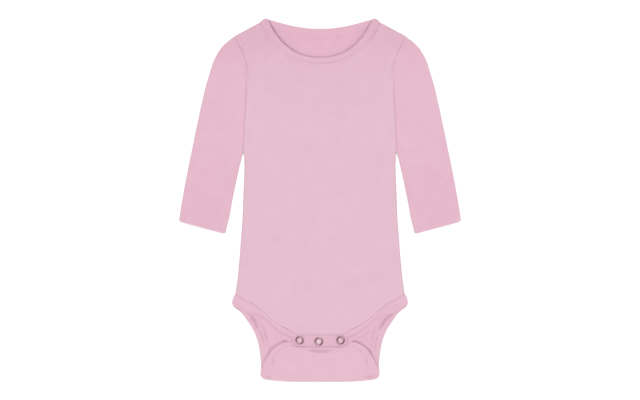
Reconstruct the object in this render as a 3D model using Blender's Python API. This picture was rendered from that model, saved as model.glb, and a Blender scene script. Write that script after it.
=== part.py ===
"""A long-sleeved baby bodysuit in light knit, laid flat with its front up.

Metres, +Z up.  +Y runs from the snaps towards the neck, +X to the right as
seen from above.  The origin is under the middle of the garment, on the
surface it lies on.  Sizes below are in millimetres and are turned into
metres only when a mesh is made.

The lower layer (back panel, the undersides of the sleeves, the back halves of
the bands) lies on z = 0.  The upper layer lies on it.  The back panel is one
piece with the crotch flap, which folds up at the bottom over a small radius
and passes under the front's snap tab.
"""

import math

import bmesh
import bpy
import numpy as np

MM = 0.001

# ---- driving sizes, mm -------------------------------------------------------
CLOTH = 1.0            # wall of the single knit
BAND = 1.4             # wall of the doubled neckband, leg bindings and tab
SEAM_GAP = 0.3         # clearance between two pieces at a seam
EDGE_R = 1.65          # outer radius where a band or the back panel folds over
SLEEVE_R = 1.3         # outer radius of a flattened sleeve's two edges
FRONT_BASE = 1.4       # underside of the front panel where it meets the back
BAND_BASE = 1.9        # underside of a band's upper layer at its side fold
BODY_LOFT = 2.0        # how far the front panel rises in the middle
SLEEVE_LOFT = 1.3      # how far a sleeve's upper layer rises in the middle
LOFT_REACH = 34.0      # distance from an edge over which the loft is reached
ARMHOLE_SHARE = 0.9    # height above the armpit that counts as distance from an edge
ARMHOLE_REACH = 0.4    # share of a sleeve's length in which its armhole's height dies out
TAB_BASE = 5.7         # underside of the snap tab, carried by the closed snaps
SHOULDER_TIP = (101.0, 192.9)
NECK_POINT = (71.0, 209.2)      # shoulder seam meets the neckband
HIP_POINT = (99.7, -110.6)      # side seam meets the leg binding
ARMPIT_Y = 56.6
TAB_HALF = 26.5                 # half width of the tab's top line
TAB_TOP_Y = -158.9
FLAP_END_Y = -159.0
TAPE_HALF = 33.2                # half width of the flap's end under the tab
SNAP_Y = -165.4
SNAPS = (                       # name, x, y
    ("1", -24.2, SNAP_Y),
    ("2", -1.5, SNAP_Y - 1.5),
    ("3", 24.2, SNAP_Y),
)

# ---- outline tables, mm ------------------------------------------------------
ARMHOLE = (            # height, half width
    (192.9, 101.0), (188.6, 98.6), (180.0, 94.1), (168.4, 89.5), (158.0, 87.2),
    (144.0, 86.8), (127.0, 87.2), (106.0, 87.9), (82.6, 88.7), (56.6, 89.7),
)
SIDE = (               # height, half width
    (56.6, 89.7), (53.0, 88.9), (38.0, 89.0), (9.0, 90.0), (-19.0, 91.0),
    (-42.0, 92.7), (-66.0, 94.5), (-90.0, 96.8), (-110.6, 99.7),
)
SLEEVE_OUTER = (       # x, y from the shoulder tip to the cuff
    (101.0, 192.9), (110.2, 185.8), (117.1, 178.8), (121.6, 171.7), (126.2, 162.2),
    (129.2, 152.8), (134.8, 133.9), (139.3, 115.0), (145.4, 86.7), (151.2, 58.4),
    (157.0, 30.1), (162.2, 1.8), (166.6, -25.2),
)
SLEEVE_INNER = (       # x, y from the armpit to the cuff
    (89.9, 56.4), (93.9, 44.2), (98.8, 23.0), (101.7, 8.8), (104.5, -5.3),
    (107.0, -19.5), (110.4, -33.2), (111.8, -39.8),
)
NECK_SEAM_FRONT = (    # x, y from the neck point to the middle
    (71.0, 209.2), (65.5, 198.0), (58.2, 187.5), (49.5, 177.6), (38.0, 169.8),
    (24.0, 164.3), (12.0, 161.9), (0.0, 161.2),
)
NECK_EDGE_FRONT = (    # x, y
    (61.4, 213.4), (60.0, 209.3), (56.8, 203.0), (52.1, 195.0), (39.9, 181.7),
    (24.2, 172.5), (11.9, 169.1), (0.0, 168.2),
)
NECK_SEAM_BACK = (     # x, y
    (71.0, 209.2), (60.0, 202.7), (45.0, 197.2), (28.0, 193.0), (14.0, 190.8),
    (0.0, 190.0),
)
NECK_EDGE_BACK = (     # x, y
    (61.4, 213.4), (56.6, 211.9), (42.5, 207.8), (28.3, 204.6), (14.2, 202.6),
    (0.0, 202.0),
)
NECK_FOLD = (          # x, y across the band where it folds at the shoulder
    (71.0, 209.2), (69.3, 211.9), (66.4, 214.2), (63.5, 214.4), (61.4, 213.4),
)
LEG_SEAM_FRONT = (     # x, y from the hip to the tab
    (99.7, -110.6), (94.4, -114.9), (80.8, -122.0), (71.3, -128.6), (63.6, -134.7),
    (55.7, -141.6), (47.0, -147.6), (37.2, -152.8), (26.5, -158.9),
)
LEG_EDGE_FRONT = (     # x, y from the side corner to the tab
    (103.7, -123.2), (94.4, -130.3), (86.1, -134.4), (79.1, -136.4), (72.2, -137.8),
    (66.1, -140.4), (60.8, -144.4), (56.1, -148.8), (49.6, -154.0), (43.0, -158.0),
    (36.8, -161.4), (32.0, -163.7),
)
LEG_FOLD = (           # x, y across the binding where it folds at the side
    (99.7, -110.6), (101.8, -113.9), (102.9, -117.1), (103.5, -120.3), (103.7, -123.2),
)
LEG_SEAM_BACK = (      # x, y from the hip down to the bottom fold
    (99.7, -110.6), (93.0, -120.0), (85.5, -129.5), (78.3, -138.5), (71.3, -147.0),
    (66.0, -155.0), (62.5, -163.0), (60.3, -172.0), (58.8, -182.0), (58.0, -193.0),
    (57.8, -203.0),
)
LEG_EDGE_BACK = (      # x, y from the side corner down to the bottom fold
    (103.7, -123.2), (101.7, -125.9), (94.4, -131.6), (85.1, -143.4), (77.8, -155.2),
    (73.5, -167.0), (71.2, -178.6), (69.8, -190.0), (69.7, -201.0),
)
FLAP_SEAM = (          # x, y on the flap, from the bottom fold to the tape
    (57.0, -203.0), (55.0, -195.0), (54.0, -186.5), (50.5, -181.0), (45.0, -176.6),
    (39.5, -173.9), (34.0, -172.4),
)
FLAP_EDGE = (          # x, y on the flap, from the bottom fold to the tape
    (69.6, -201.0), (68.3, -198.5), (65.8, -192.3), (62.9, -187.0), (59.9, -181.7),
    (57.2, -177.8), (53.6, -174.2), (48.1, -170.2), (42.1, -166.9), (37.8, -166.1),
    (34.0, -166.6),
)
FOLD_LINE = (          # distance from the middle, height of the bottom fold's edge
    (0.0, -214.4), (30.0, -214.3), (45.0, -213.6), (58.0, -212.4), (64.0, -211.6),
    (68.0, -209.8), (70.6, -206.9),
)
TAB_SIDE = (           # height, half width of the tab
    (-158.9, 26.5), (-161.2, 29.6), (-163.7, 32.0), (-167.4, 33.2), (-170.4, 31.8),
    (-172.2, 28.4), (-173.0, 23.0),
)
TAB_SAG = 0.8          # how far the tab's lower edge hangs below its ends

# ---- colours -----------------------------------------------------------------
PINK = (0.787, 0.515, 0.617, 1.0)
PINK_BAND = (0.760, 0.485, 0.590, 1.0)
STEEL = (0.62, 0.58, 0.60, 1.0)


# ---- curves ------------------------------------------------------------------
def monotone(table):
    """y(x) through a table of (x, y) rows, smooth and without overshoot."""
    t = np.array(sorted(table), float)
    x, y = t[:, 0], t[:, 1]
    h = np.diff(x)
    d = np.diff(y) / h
    m = np.zeros(len(x))
    m[0], m[-1] = d[0], d[-1]
    for i in range(1, len(x) - 1):
        if d[i - 1] * d[i] > 0:
            w1, w2 = 2 * h[i] + h[i - 1], h[i] + 2 * h[i - 1]
            m[i] = (w1 + w2) / (w1 / d[i - 1] + w2 / d[i])

    def value(v):
        v = np.clip(np.asarray(v, float), x[0], x[-1])
        k = np.clip(np.searchsorted(x, v) - 1, 0, len(h) - 1)
        s = (v - x[k]) / h[k]
        return (
            y[k] * (1 + 2 * s) * (1 - s) ** 2
            + m[k] * h[k] * s * (1 - s) ** 2
            + y[k + 1] * s * s * (3 - 2 * s)
            + m[k + 1] * h[k] * s * s * (s - 1)
        )

    return value


def path(points):
    """A smooth curve through plan points, read by its share of the length."""
    p = np.array(points, float)
    step = np.hypot(*np.diff(p, axis=0).T)
    at = np.concatenate([[0.0], np.cumsum(step)])
    fx, fy = monotone_or_cubic(at, p[:, 0]), monotone_or_cubic(at, p[:, 1])
    fine = np.linspace(0, at[-1], 1200)
    q = np.stack([fx(fine), fy(fine)], -1)
    run = np.concatenate([[0.0], np.cumsum(np.hypot(*np.diff(q, axis=0).T))])

    def value(share):
        s = np.interp(np.asarray(share, float) * run[-1], run, fine)
        return np.stack([fx(s), fy(s)], -1)

    value.length = run[-1]
    return value


def monotone_or_cubic(t, v):
    """Catmull-Rom slopes on uneven spacing."""
    h = np.diff(t)
    d = np.diff(v) / h
    m = np.empty(len(t))
    m[0], m[-1] = d[0], d[-1]
    m[1:-1] = (d[:-1] * h[1:] + d[1:] * h[:-1]) / (h[:-1] + h[1:])

    def value(s):
        s = np.clip(np.asarray(s, float), t[0], t[-1])
        k = np.clip(np.searchsorted(t, s) - 1, 0, len(h) - 1)
        a = (s - t[k]) / h[k]
        return (
            v[k] * (1 + 2 * a) * (1 - a) ** 2
            + m[k] * h[k] * a * (1 - a) ** 2
            + v[k + 1] * a * a * (3 - 2 * a)
            + m[k + 1] * h[k] * a * a * (a - 1)
        )

    return value


def ease(t):
    t = np.clip(t, 0.0, 1.0)
    return t * t * (3 - 2 * t)


def rise(t):
    t = np.clip(t, 0.0, 1.0)
    return 1 - (1 - t) ** 2


armhole = monotone(ARMHOLE)
side = monotone(SIDE)
fold_edge = monotone(FOLD_LINE)
leg_seam_half = monotone([(y, x) for x, y in LEG_SEAM_BACK])
flap_seam_half = monotone([(y, x) for x, y in FLAP_SEAM])
tab_half = monotone(TAB_SIDE)
neck_seam_front = path(NECK_SEAM_FRONT)
neck_seam_back = path(NECK_SEAM_BACK)
neck_edge_front = path(NECK_EDGE_FRONT)
neck_edge_back = path(NECK_EDGE_BACK)
leg_seam_front = path(LEG_SEAM_FRONT)
leg_edge_front = path(LEG_EDGE_FRONT)


def body_half(y):
    """Half width of the body at a height, armhole above and side seam below."""
    y = np.asarray(y, float)
    return np.where(y >= ARMPIT_Y, armhole(y), side(y))


def stand_off(points, towards):
    """A seam's points moved off it by the seam gap, to the side that holds the
    plan point towards."""
    p = np.array(points, float)
    d = np.diff(p, axis=0)
    n = np.stack([-d[:, 1], d[:, 0]], -1) / np.hypot(*d.T)[:, None]
    at = np.concatenate([n[:1], n[:-1] + n[1:], n[-1:]])
    at /= np.hypot(*at.T)[:, None]
    firm = np.concatenate([n[:1], n])
    at /= np.maximum((at * firm).sum(1), 0.5)[:, None]
    k = len(p) // 2
    if ((np.array(towards, float) - p[k]) * at[k]).sum() < 0:
        at = -at
    return p + at * SEAM_GAP


def fold_centre(x):
    return fold_edge(np.abs(x)) + EDGE_R


# ---- height of the upper layer -----------------------------------------------
def loft(x, y):
    x = np.abs(x)
    from_side = np.maximum(body_half(np.maximum(y, HIP_POINT[1])) - x, 0.0)
    from_side = from_side + ARMHOLE_SHARE * np.maximum(y - ARMPIT_Y, 0.0)
    slope = (NECK_POINT[1] - SHOULDER_TIP[1]) / (SHOULDER_TIP[0] - NECK_POINT[0])
    from_shoulder = NECK_POINT[1] + (NECK_POINT[0] - x) * slope - y
    return BODY_LOFT * rise(from_side / LOFT_REACH) * rise(from_shoulder / LOFT_REACH)


def to_tab(x, y):
    """0 on the chest, 1 at the snap tab, falling off along the leg edges."""
    down = ease((-92.0 - y) / (-92.0 - TAB_TOP_Y))
    across = 1 - ease((np.abs(x) - 24.0) / 56.0)
    return down * across


def front_underside(x, y, base=FRONT_BASE):
    near = to_tab(x, y)
    return base + loft(x, y) * (1 - near) + (TAB_BASE - base) * near


# ---- meshes ------------------------------------------------------------------
def material(name, colour, roughness, metallic=0.0):
    m = bpy.data.materials.new(name)
    m.use_nodes = True
    shader = m.node_tree.nodes["Principled BSDF"]
    shader.inputs["Base Color"].default_value = colour
    shader.inputs["Roughness"].default_value = roughness
    shader.inputs["Metallic"].default_value = metallic
    m.diffuse_color = colour
    return m


def add_object(name, verts, faces, mat, angle=40.0):
    mesh = bpy.data.meshes.new(name)
    mesh.from_pydata([tuple(float(c) * MM for c in v) for v in verts], [], faces)
    bm = bmesh.new()
    bm.from_mesh(mesh)
    bmesh.ops.recalc_face_normals(bm, faces=bm.faces)
    bm.to_mesh(mesh)
    bm.free()
    mesh.materials.append(mat)
    mesh.shade_smooth()
    mesh.set_sharp_from_angle(angle=math.radians(angle))
    obj = bpy.data.objects.new(name, mesh)
    bpy.context.scene.collection.objects.link(obj)
    return obj


def shell(name, outer, inner, mat, closed=False):
    """A wall between two grids of points (rows, columns, 3), rims included."""
    rows, cols = outer.shape[:2]
    verts = np.concatenate([outer.reshape(-1, 3), inner.reshape(-1, 3)])
    deep = rows * cols
    faces = []
    across = cols if closed else cols - 1
    for i in range(rows - 1):
        for j in range(across):
            k = (j + 1) % cols
            quad = (i * cols + j, i * cols + k, (i + 1) * cols + k, (i + 1) * cols + j)
            faces.append(quad)
            faces.append(tuple(deep + q for q in reversed(quad)))
    for i in (0, rows - 1):
        for j in range(across):
            a, b = i * cols + j, i * cols + (j + 1) % cols
            faces.append((a, b, deep + b, deep + a) if i else (b, a, deep + a, deep + b))
    if not closed:
        for j in (0, cols - 1):
            for i in range(rows - 1):
                a, b = i * cols + j, (i + 1) * cols + j
                faces.append((a, b, deep + b, deep + a) if not j else (b, a, deep + a, deep + b))
    return add_object(name, verts, faces, mat)


def turned(name, profile, centre, mat, segments=20):
    """A body turned about a vertical axis from a closed (radius, z) profile; a
    radius of 0 is a point on the axis."""
    verts, rings = [], []
    for r, z in profile:
        if r == 0:
            rings.append([len(verts)] * segments)
            verts.append((centre[0], centre[1], z))
        else:
            rings.append(list(range(len(verts), len(verts) + segments)))
            for k in range(segments):
                a = 2 * math.pi * k / segments
                verts.append((centre[0] + r * math.cos(a), centre[1] + r * math.sin(a), z))
    faces = []
    for n in range(len(profile)):
        a, b = rings[n], rings[(n + 1) % len(profile)]
        if a[0] == a[1] and b[0] == b[1]:
            continue
        for k in range(segments):
            m = (k + 1) % segments
            quad = (a[k], a[m], b[m], b[k])
            faces.append(tuple(dict.fromkeys(quad)))
    return add_object(name, verts, faces, mat, 30.0)


# ---- panels ------------------------------------------------------------------
NECK_STEPS_FRONT, NECK_STEPS_BACK, SHOULDER_STEPS = 7, 6, 3
ARMHOLE_ROWS = (192.9, 188.0, 182.0, 174.0, 165.0, 156.0, 144.0, 126.0, 104.0, 80.0, 56.6)
SIDE_ROWS = (52.0, 36.0, 12.0, -14.0, -40.0, -64.0, -86.0, -100.0, -110.6)
LEG_ROWS = (-116.0, -124.0, -132.0, -140.0, -148.0, -157.0, -168.0, -182.0, -196.0)
FLAP_ROWS = (-196.0, -187.0, -181.5, -177.0, -174.0, -172.6)
FOLD_HALF = 57.8                # half width of the back between its bindings
FOLD_RUN = 5.0                  # straight run of cloth beside the fold
TAB_COLUMN = 2                  # the front panel's column that meets the tab's corner


def top_line(neck_seam, neck_steps):
    """The upper edge from tip to tip: shares across the panel and plan points."""
    half = [neck_seam(1 - k / neck_steps) for k in range(neck_steps + 1)]
    for k in range(1, SHOULDER_STEPS + 1):
        a = k / SHOULDER_STEPS
        half.append(np.array(NECK_POINT) * (1 - a) + np.array(SHOULDER_TIP) * a)
    half = np.array(half)
    half[0, 0] = 0.0
    points = np.concatenate([half[:0:-1] * (-1, 1), half])
    return points[:, 0] / half[-1, 0], points


def leg_shares():
    """Where the front panel's columns meet the leg seam, hip first."""
    u, _ = top_line(neck_seam_front, NECK_STEPS_FRONT)
    columns = u[len(u) // 2 + TAB_COLUMN :][::-1]
    return (1 - columns) / (1 - columns[-1])


def back_leg_points():
    points = [HIP_POINT] + [(float(leg_seam_half(y)), y) for y in LEG_ROWS]
    edge = float(fold_centre(FOLD_HALF))
    return points + [(FOLD_HALF, edge + FOLD_RUN), (FOLD_HALF, edge)]


def flap_points():
    edge = float(fold_centre(FOLD_HALF))
    points = [(FOLD_HALF, edge), (FOLD_HALF - 0.8, edge + FOLD_RUN)]
    return points + [(float(flap_seam_half(y)), y) for y in FLAP_ROWS] + [(TAPE_HALF, -171.4)]


def settle(rows, near, far):
    """1 at the panel's edge row, 0 from the row where its shape no longer acts."""
    return ease((np.asarray(rows, float) - far) / (near - far))


def front_panel(mat):
    u, top = top_line(neck_seam_front, NECK_STEPS_FRONT)
    rows = np.array(ARMHOLE_ROWS + SIDE_ROWS)
    half = body_half(rows)
    g_top = settle(rows, SHOULDER_TIP[1], 84.0)
    g_low = settle(rows, HIP_POINT[1], -40.0)
    # lower edge: leg seams and the top line of the tab
    tab = np.array([(TAB_HALF * k / TAB_COLUMN, TAB_TOP_Y) for k in range(TAB_COLUMN)])
    right = np.concatenate([tab, leg_seam_front(leg_shares())[::-1]])
    low = np.concatenate([right[:0:-1] * (-1, 1), right])
    grid = np.empty((len(rows), len(u), 2))
    for j, y in enumerate(rows):
        grid[j, :, 0] = (
            u * half[j] + g_top[j] * (top[:, 0] - u * half[0]) + g_low[j] * (low[:, 0] - u * half[-1])
        )
        grid[j, :, 1] = y + g_top[j] * (top[:, 1] - rows[0]) + g_low[j] * (low[:, 1] - rows[-1])
    z = front_underside(grid[..., 0], grid[..., 1])
    upper = np.dstack([grid, z + CLOTH])
    under = np.dstack([grid, z])
    return shell("front_panel", upper, under, mat)


def wrap(x, y, turn, depth):
    """A point of the back panel: turn None is the lower layer, a number is the
    angle round the bottom fold, "flap" is the layer folded up.  depth is
    measured inwards from the garment's outer face."""
    if turn is None:
        return np.stack([x, y, np.full_like(x, depth)], -1)
    if turn == "flap":
        return np.stack([x, y, np.full_like(x, 2 * EDGE_R - depth)], -1)
    a = math.radians(turn)
    r = EDGE_R - depth
    return np.stack(
        [x, fold_centre(x) - r * math.sin(a), np.full_like(x, EDGE_R - r * math.cos(a))], -1
    )


FOLD_ANGLES = (0.0, 45.0, 90.0, 135.0, 180.0)


def back_panel(mat):
    u, top = top_line(neck_seam_back, NECK_STEPS_BACK)
    upper = np.array(ARMHOLE_ROWS + SIDE_ROWS)
    g_top = settle(upper, SHOULDER_TIP[1], 120.0)
    made = []
    for j, y in enumerate(upper):
        x = u * body_half(y) + g_top[j] * (top[:, 0] - u * body_half(upper[0]))
        made.append((x, y + g_top[j] * (top[:, 1] - upper[0]), None))
    for half, y in back_leg_points()[1:-2]:
        made.append((u * half, np.full(len(u), y), None))
    x = u * FOLD_HALF
    made.append((x, fold_centre(x) + FOLD_RUN, None))
    for a in FOLD_ANGLES:
        made.append((x, None, a))
    x = u * (FOLD_HALF - 0.8)
    made.append((x, fold_centre(x) + FOLD_RUN, "flap"))
    for half, y in flap_points()[2:-1]:
        made.append((u * half, np.full(len(u), y), "flap"))
    for y in (-171.4, -165.0, FLAP_END_Y):
        made.append((u * TAPE_HALF, np.full(len(u), y), "flap"))
    outer = np.array([wrap(x, y, turn, 0.0) for x, y, turn in made])
    inner = np.array([wrap(x, y, turn, CLOTH) for x, y, turn in made])
    return shell("back_panel", outer, inner, mat)


# ---- sleeves -----------------------------------------------------------------
def sleeve(name, sign, mat):
    """A flattened tube: rings from the armhole to the cuff.  Each ring runs over
    the upper layer from the underarm edge to the outer edge and back below."""
    ys = np.array(ARMHOLE_ROWS[::-1])
    arm = stand_off(np.stack([armhole(ys), ys], -1), (150.0, 100.0))
    outer_edge, inner_edge = path(SLEEVE_OUTER), path(SLEEVE_INNER)
    run = np.concatenate([[0.0], np.cumsum(np.hypot(*np.diff(arm, axis=0).T))])
    share = run / run[-1]
    v_list = (0.0, 0.05, 0.12, 0.2, 0.3, 0.42, 0.54, 0.66, 0.78, 0.89, 1.0)
    cuff_in, cuff_out = np.array(SLEEVE_INNER[-1]), np.array(SLEEVE_OUTER[-1])

    def plan(u, v):
        a = np.stack([np.interp(u, share, arm[:, 0]), np.interp(u, share, arm[:, 1])], -1)
        b = cuff_in * (1 - u)[:, None] + cuff_out * u[:, None]
        i, o = inner_edge(v), outer_edge(v)
        c00, c10 = arm[0], arm[-1]
        return (
            (1 - v) * a + v * b + (1 - u)[:, None] * i + u[:, None] * o
            - ((1 - u)[:, None] * ((1 - v) * c00 + v * cuff_in) + u[:, None] * ((1 - v) * c10 + v * cuff_out))
        )

    arm_rise = loft(arm[:, 0], arm[:, 1]) + FRONT_BASE + CLOTH - 2 * SLEEVE_R
    rings = {0.0: [], CLOTH: []}
    for v in v_list:
        length = np.hypot(*(outer_edge(v) - inner_edge(v)))
        for depth, store in rings.items():
            r = SLEEVE_R - depth
            reach = np.clip(share[1:-1], SLEEVE_R / length, 1 - SLEEVE_R / length)
            u = np.concatenate([[SLEEVE_R / length], reach, [1 - SLEEVE_R / length]])
            p = plan(u, v)
            swell = SLEEVE_LOFT * rise(u * length / 24.0) * rise((1 - u) * length / 24.0)
            joined = np.maximum(np.interp(u, share, arm_rise), 0.0)
            swell = swell + (joined - swell) * (1 - ease(v / ARMHOLE_REACH))
            top = np.column_stack([p, SLEEVE_R + r + swell])
            low = np.column_stack([p, np.full(len(u), SLEEVE_R - r)])
            ends = plan(np.array([depth / length, 1 - depth / length]), v)
            ring = np.concatenate(
                [[[*ends[0], SLEEVE_R]], top, [[*ends[1], SLEEVE_R]], low[::-1]]
            )
            store.append(ring * (sign, 1, 1))
    return shell(name, np.array(rings[0.0]), np.array(rings[CLOTH]), mat, closed=True)


# ---- bands -------------------------------------------------------------------
ACROSS = (0.0, 0.35, 0.7, 1.0)     # seam to edge
BEND = (-90.0, -45.0, 0.0, 45.0, 90.0)


def strip(seam, edge, start=None):
    """Plan points (across, along, 2) of a band between its seam's points and the
    matching points of its edge.  start holds the points across its first end,
    where it leaves a fold, and replaces the first pair."""
    w = np.array(ACROSS)[:, None, None]
    flat = seam[None] * (1 - w) + edge[None] * w
    if start is not None:
        flat[:, 0] = start
    return flat


def shares_of(points):
    run = np.concatenate([[0.0], np.cumsum(np.hypot(*np.diff(points, axis=0).T))])
    return run / run[-1]


def side_fold(fold, inward):
    """Where a band turns over at a side: the points across it where it leaves
    the fold, and the bend at an angle and a depth."""
    f = path(fold)(np.array(ACROSS))
    across = f[-1] - f[0]
    f[0] += across / np.hypot(*across) * 1.5 * SEAM_GAP
    d = np.array(inward, float)
    d /= np.hypot(*d)

    def bend(angle, depth):
        a, r = math.radians(angle), EDGE_R - depth
        p = f + d * (EDGE_R - r * math.cos(a))
        return np.column_stack([p, np.full(len(p), EDGE_R + r * math.sin(a))])

    return f + d * EDGE_R, bend


def lifted(p, depth):
    z = front_underside(p[:, 0], p[:, 1], BAND_BASE) + BAND - depth
    return np.column_stack([p, z])


def laid(p, depth):
    return np.column_stack([p, np.full(len(p), depth)])


def neckband(mat):
    start, bend = side_fold(NECK_FOLD, (-1.0, -0.62))
    halves = []
    for seam_curve, edge_curve, steps in (
        (neck_seam_front, neck_edge_front, NECK_STEPS_FRONT),
        (neck_seam_back, neck_edge_back, NECK_STEPS_BACK),
    ):
        shares = np.arange(steps + 1) / steps
        seam = stand_off(seam_curve(shares), (0.0, 230.0))
        half = strip(seam, edge_curve(shares), start)
        half[:, -1, 0] = 0.0
        halves.append(half)
    front, back = halves
    grids = {}
    for depth in (0.0, BAND):
        cols = [lifted(front[:, k], depth) for k in range(front.shape[1])][:0:-1]
        cols += [bend(a, depth) for a in BEND[::-1]]
        cols += [laid(back[:, k], depth) for k in range(1, back.shape[1])]
        mirror = [c * (-1, 1, 1) for c in cols]
        cols += mirror[-2:0:-1]
        grids[depth] = np.array(cols).transpose(1, 0, 2)
    return shell("neckband", grids[0.0], grids[BAND], mat, closed=True)


def leg_binding(name, sign, mat):
    start, bend = side_fold(LEG_FOLD, (-0.62, -0.785))
    shares = leg_shares()
    front = strip(stand_off(leg_seam_front(shares), (60.0, -200.0)), leg_edge_front(shares), start)
    front[:, -1] += (1.5 * SEAM_GAP, 0.85 * SEAM_GAP)     # clear of the tab's end
    points = stand_off(back_leg_points(), (110.0, -170.0))
    edge = path(LEG_EDGE_BACK + ((70.2, float(fold_centre(70.2))),))
    back = strip(points, edge(shares_of(points)), start)
    points = stand_off(flap_points(), (70.0, -165.0))
    edge = path(((70.2, float(fold_centre(70.2))),) + FLAP_EDGE)
    flap = strip(points, edge(shares_of(points)))
    x = back[:, -1, 0]
    grids = {}
    for depth in (0.0, BAND):
        cols = [lifted(front[:, k], depth) for k in range(front.shape[1])][:0:-1]
        cols += [bend(a, depth) for a in BEND[::-1]]
        cols += [laid(back[:, k], depth) for k in range(1, back.shape[1] - 1)]
        cols += [wrap(x, None, a, depth) for a in FOLD_ANGLES]
        cols += [wrap(*flap[:, k].T, "flap", depth) for k in range(1, flap.shape[1])]
        grids[depth] = np.array(cols).transpose(1, 0, 2) * (sign, 1, 1)
    return shell(name, grids[0.0], grids[BAND], mat)


def front_placket(mat):
    rows = np.array((-158.9, -161.2, -163.7, -167.4, -170.4, -172.2, -173.0))
    u = np.linspace(-1, 1, 11)
    half = tab_half(rows) - SEAM_GAP * 0.7
    x = half[:, None] * u[None, :]
    low = ease((rows - rows[0]) / (rows[-1] - rows[0]))
    y = rows[:, None] - TAB_SAG * low[:, None] * (1 - u[None, :] ** 2)
    y[0] -= SEAM_GAP / 2
    grid = np.dstack([x, y])
    top = np.dstack([grid, np.full_like(x, TAB_BASE + BAND)])
    low_face = np.dstack([grid, np.full_like(x, TAB_BASE)])
    return shell("front_placket", top, low_face, mat)


# ---- snaps -------------------------------------------------------------------
RING_R, RING_HOLE_R = 5.0, 3.1
STUD_R, KNOB_R, SOCKET_R = 4.4, 2.0, 4.6


def snap(tag, x, y, mat):
    gap = SEAM_GAP
    top = TAB_BASE + BAND + gap
    middle = (RING_R + RING_HOLE_R) / 2
    turned(
        "snap_ring_" + tag,
        [(RING_HOLE_R, top), (RING_R, top), (RING_R, top + 0.35), (middle, top + 0.95), (RING_HOLE_R, top + 0.35)],
        (x, y), mat,
    )
    flap_top = 2 * EDGE_R
    base = flap_top + gap
    turned(
        "snap_stud_" + tag,
        [(0, base), (STUD_R, base), (STUD_R, base + 0.5), (KNOB_R - 0.3, base + 0.5), (KNOB_R, base + 1.2), (0, base + 1.5)],
        (x, y), mat,
    )
    low, high = base + 0.8, TAB_BASE - gap
    turned(
        "snap_socket_" + tag,
        [(KNOB_R + gap, low), (SOCKET_R, low), (SOCKET_R, high), (KNOB_R + gap, high)],
        (x, y), mat,
    )
    low, high = CLOTH + gap, flap_top - CLOTH - gap
    turned(
        "snap_back_ring_" + tag,
        [(RING_HOLE_R, low), (RING_R, low), (RING_R, high), (RING_HOLE_R, high)],
        (x, y), mat,
    )


# ---- the garment -------------------------------------------------------------
def main():
    for obj in list(bpy.data.objects):
        bpy.data.objects.remove(obj, do_unlink=True)
    front_panel(material("pink_front", PINK, 0.9))
    back_panel(material("pink_back", PINK, 0.9))
    sleeve("sleeve_left", -1, material("pink_sleeve_left", PINK, 0.9))
    sleeve("sleeve_right", 1, material("pink_sleeve_right", PINK, 0.9))
    neckband(material("pink_neckband", PINK_BAND, 0.9))
    leg_binding("leg_binding_left", -1, material("pink_binding_left", PINK_BAND, 0.9))
    leg_binding("leg_binding_right", 1, material("pink_binding_right", PINK_BAND, 0.9))
    front_placket(material("pink_tab", PINK_BAND, 0.9))
    for tag, x, y in SNAPS:
        snap(tag, x, y, material("snap_metal_" + tag, STEEL, 0.25, 1.0))


main()
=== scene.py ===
"""Looks for the long-sleeved baby bodysuit, laid flat with its front up.

Sizes in the tables are in millimetres, in the part's own frame: +X to the
right and +Y towards the neck as seen from above, +Z up from the surface.
"""

import math

import bmesh
import bpy
import numpy as np
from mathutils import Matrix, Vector


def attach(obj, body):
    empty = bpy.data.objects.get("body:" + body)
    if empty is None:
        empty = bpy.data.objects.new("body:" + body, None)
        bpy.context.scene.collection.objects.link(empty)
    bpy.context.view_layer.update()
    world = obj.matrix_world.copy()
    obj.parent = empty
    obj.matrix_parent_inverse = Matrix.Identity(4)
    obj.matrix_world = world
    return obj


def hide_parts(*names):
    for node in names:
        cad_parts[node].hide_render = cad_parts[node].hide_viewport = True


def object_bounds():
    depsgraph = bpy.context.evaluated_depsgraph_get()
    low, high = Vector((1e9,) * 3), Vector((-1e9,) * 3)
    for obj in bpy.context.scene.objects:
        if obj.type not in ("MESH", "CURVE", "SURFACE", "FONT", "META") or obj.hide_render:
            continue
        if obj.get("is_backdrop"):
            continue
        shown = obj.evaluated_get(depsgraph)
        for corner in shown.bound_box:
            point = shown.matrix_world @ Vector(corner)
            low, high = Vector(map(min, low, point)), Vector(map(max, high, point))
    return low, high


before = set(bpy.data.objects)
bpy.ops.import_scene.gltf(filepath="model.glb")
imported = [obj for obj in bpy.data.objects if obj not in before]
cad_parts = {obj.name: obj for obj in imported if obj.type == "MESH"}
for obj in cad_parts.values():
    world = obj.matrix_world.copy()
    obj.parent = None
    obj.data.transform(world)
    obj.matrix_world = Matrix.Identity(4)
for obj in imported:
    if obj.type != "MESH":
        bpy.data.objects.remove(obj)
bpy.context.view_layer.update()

MM = 0.001

# ---- the part's own sizes, mm --------------------------------------------------
CLOTH = 1.0
BAND = 1.4
EDGE_R = 1.65
SLEEVE_R = 1.3
FRONT_BASE = 1.4
BAND_BASE = 1.9
BODY_LOFT = 2.0
SLEEVE_LOFT = 1.3
LOFT_REACH = 34.0
ARMHOLE_SHARE = 0.9
ARMHOLE_REACH = 0.4
TAB_BASE = 5.7
SHOULDER_TIP = (101.0, 192.9)
NECK_POINT = (71.0, 209.2)
HIP_POINT = (99.7, -110.6)
ARMPIT_Y = 56.6
TAB_HALF = 26.5
TAB_TOP_Y = -158.9
FLAP_END_Y = -159.0
TAPE_HALF = 33.2
SNAP_Y = -165.4
SNAPS = (("1", -24.2, SNAP_Y), ("2", -1.5, SNAP_Y - 1.5), ("3", 24.2, SNAP_Y))
FOLD_HALF = 57.8
TAB_SAG = 0.8

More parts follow.
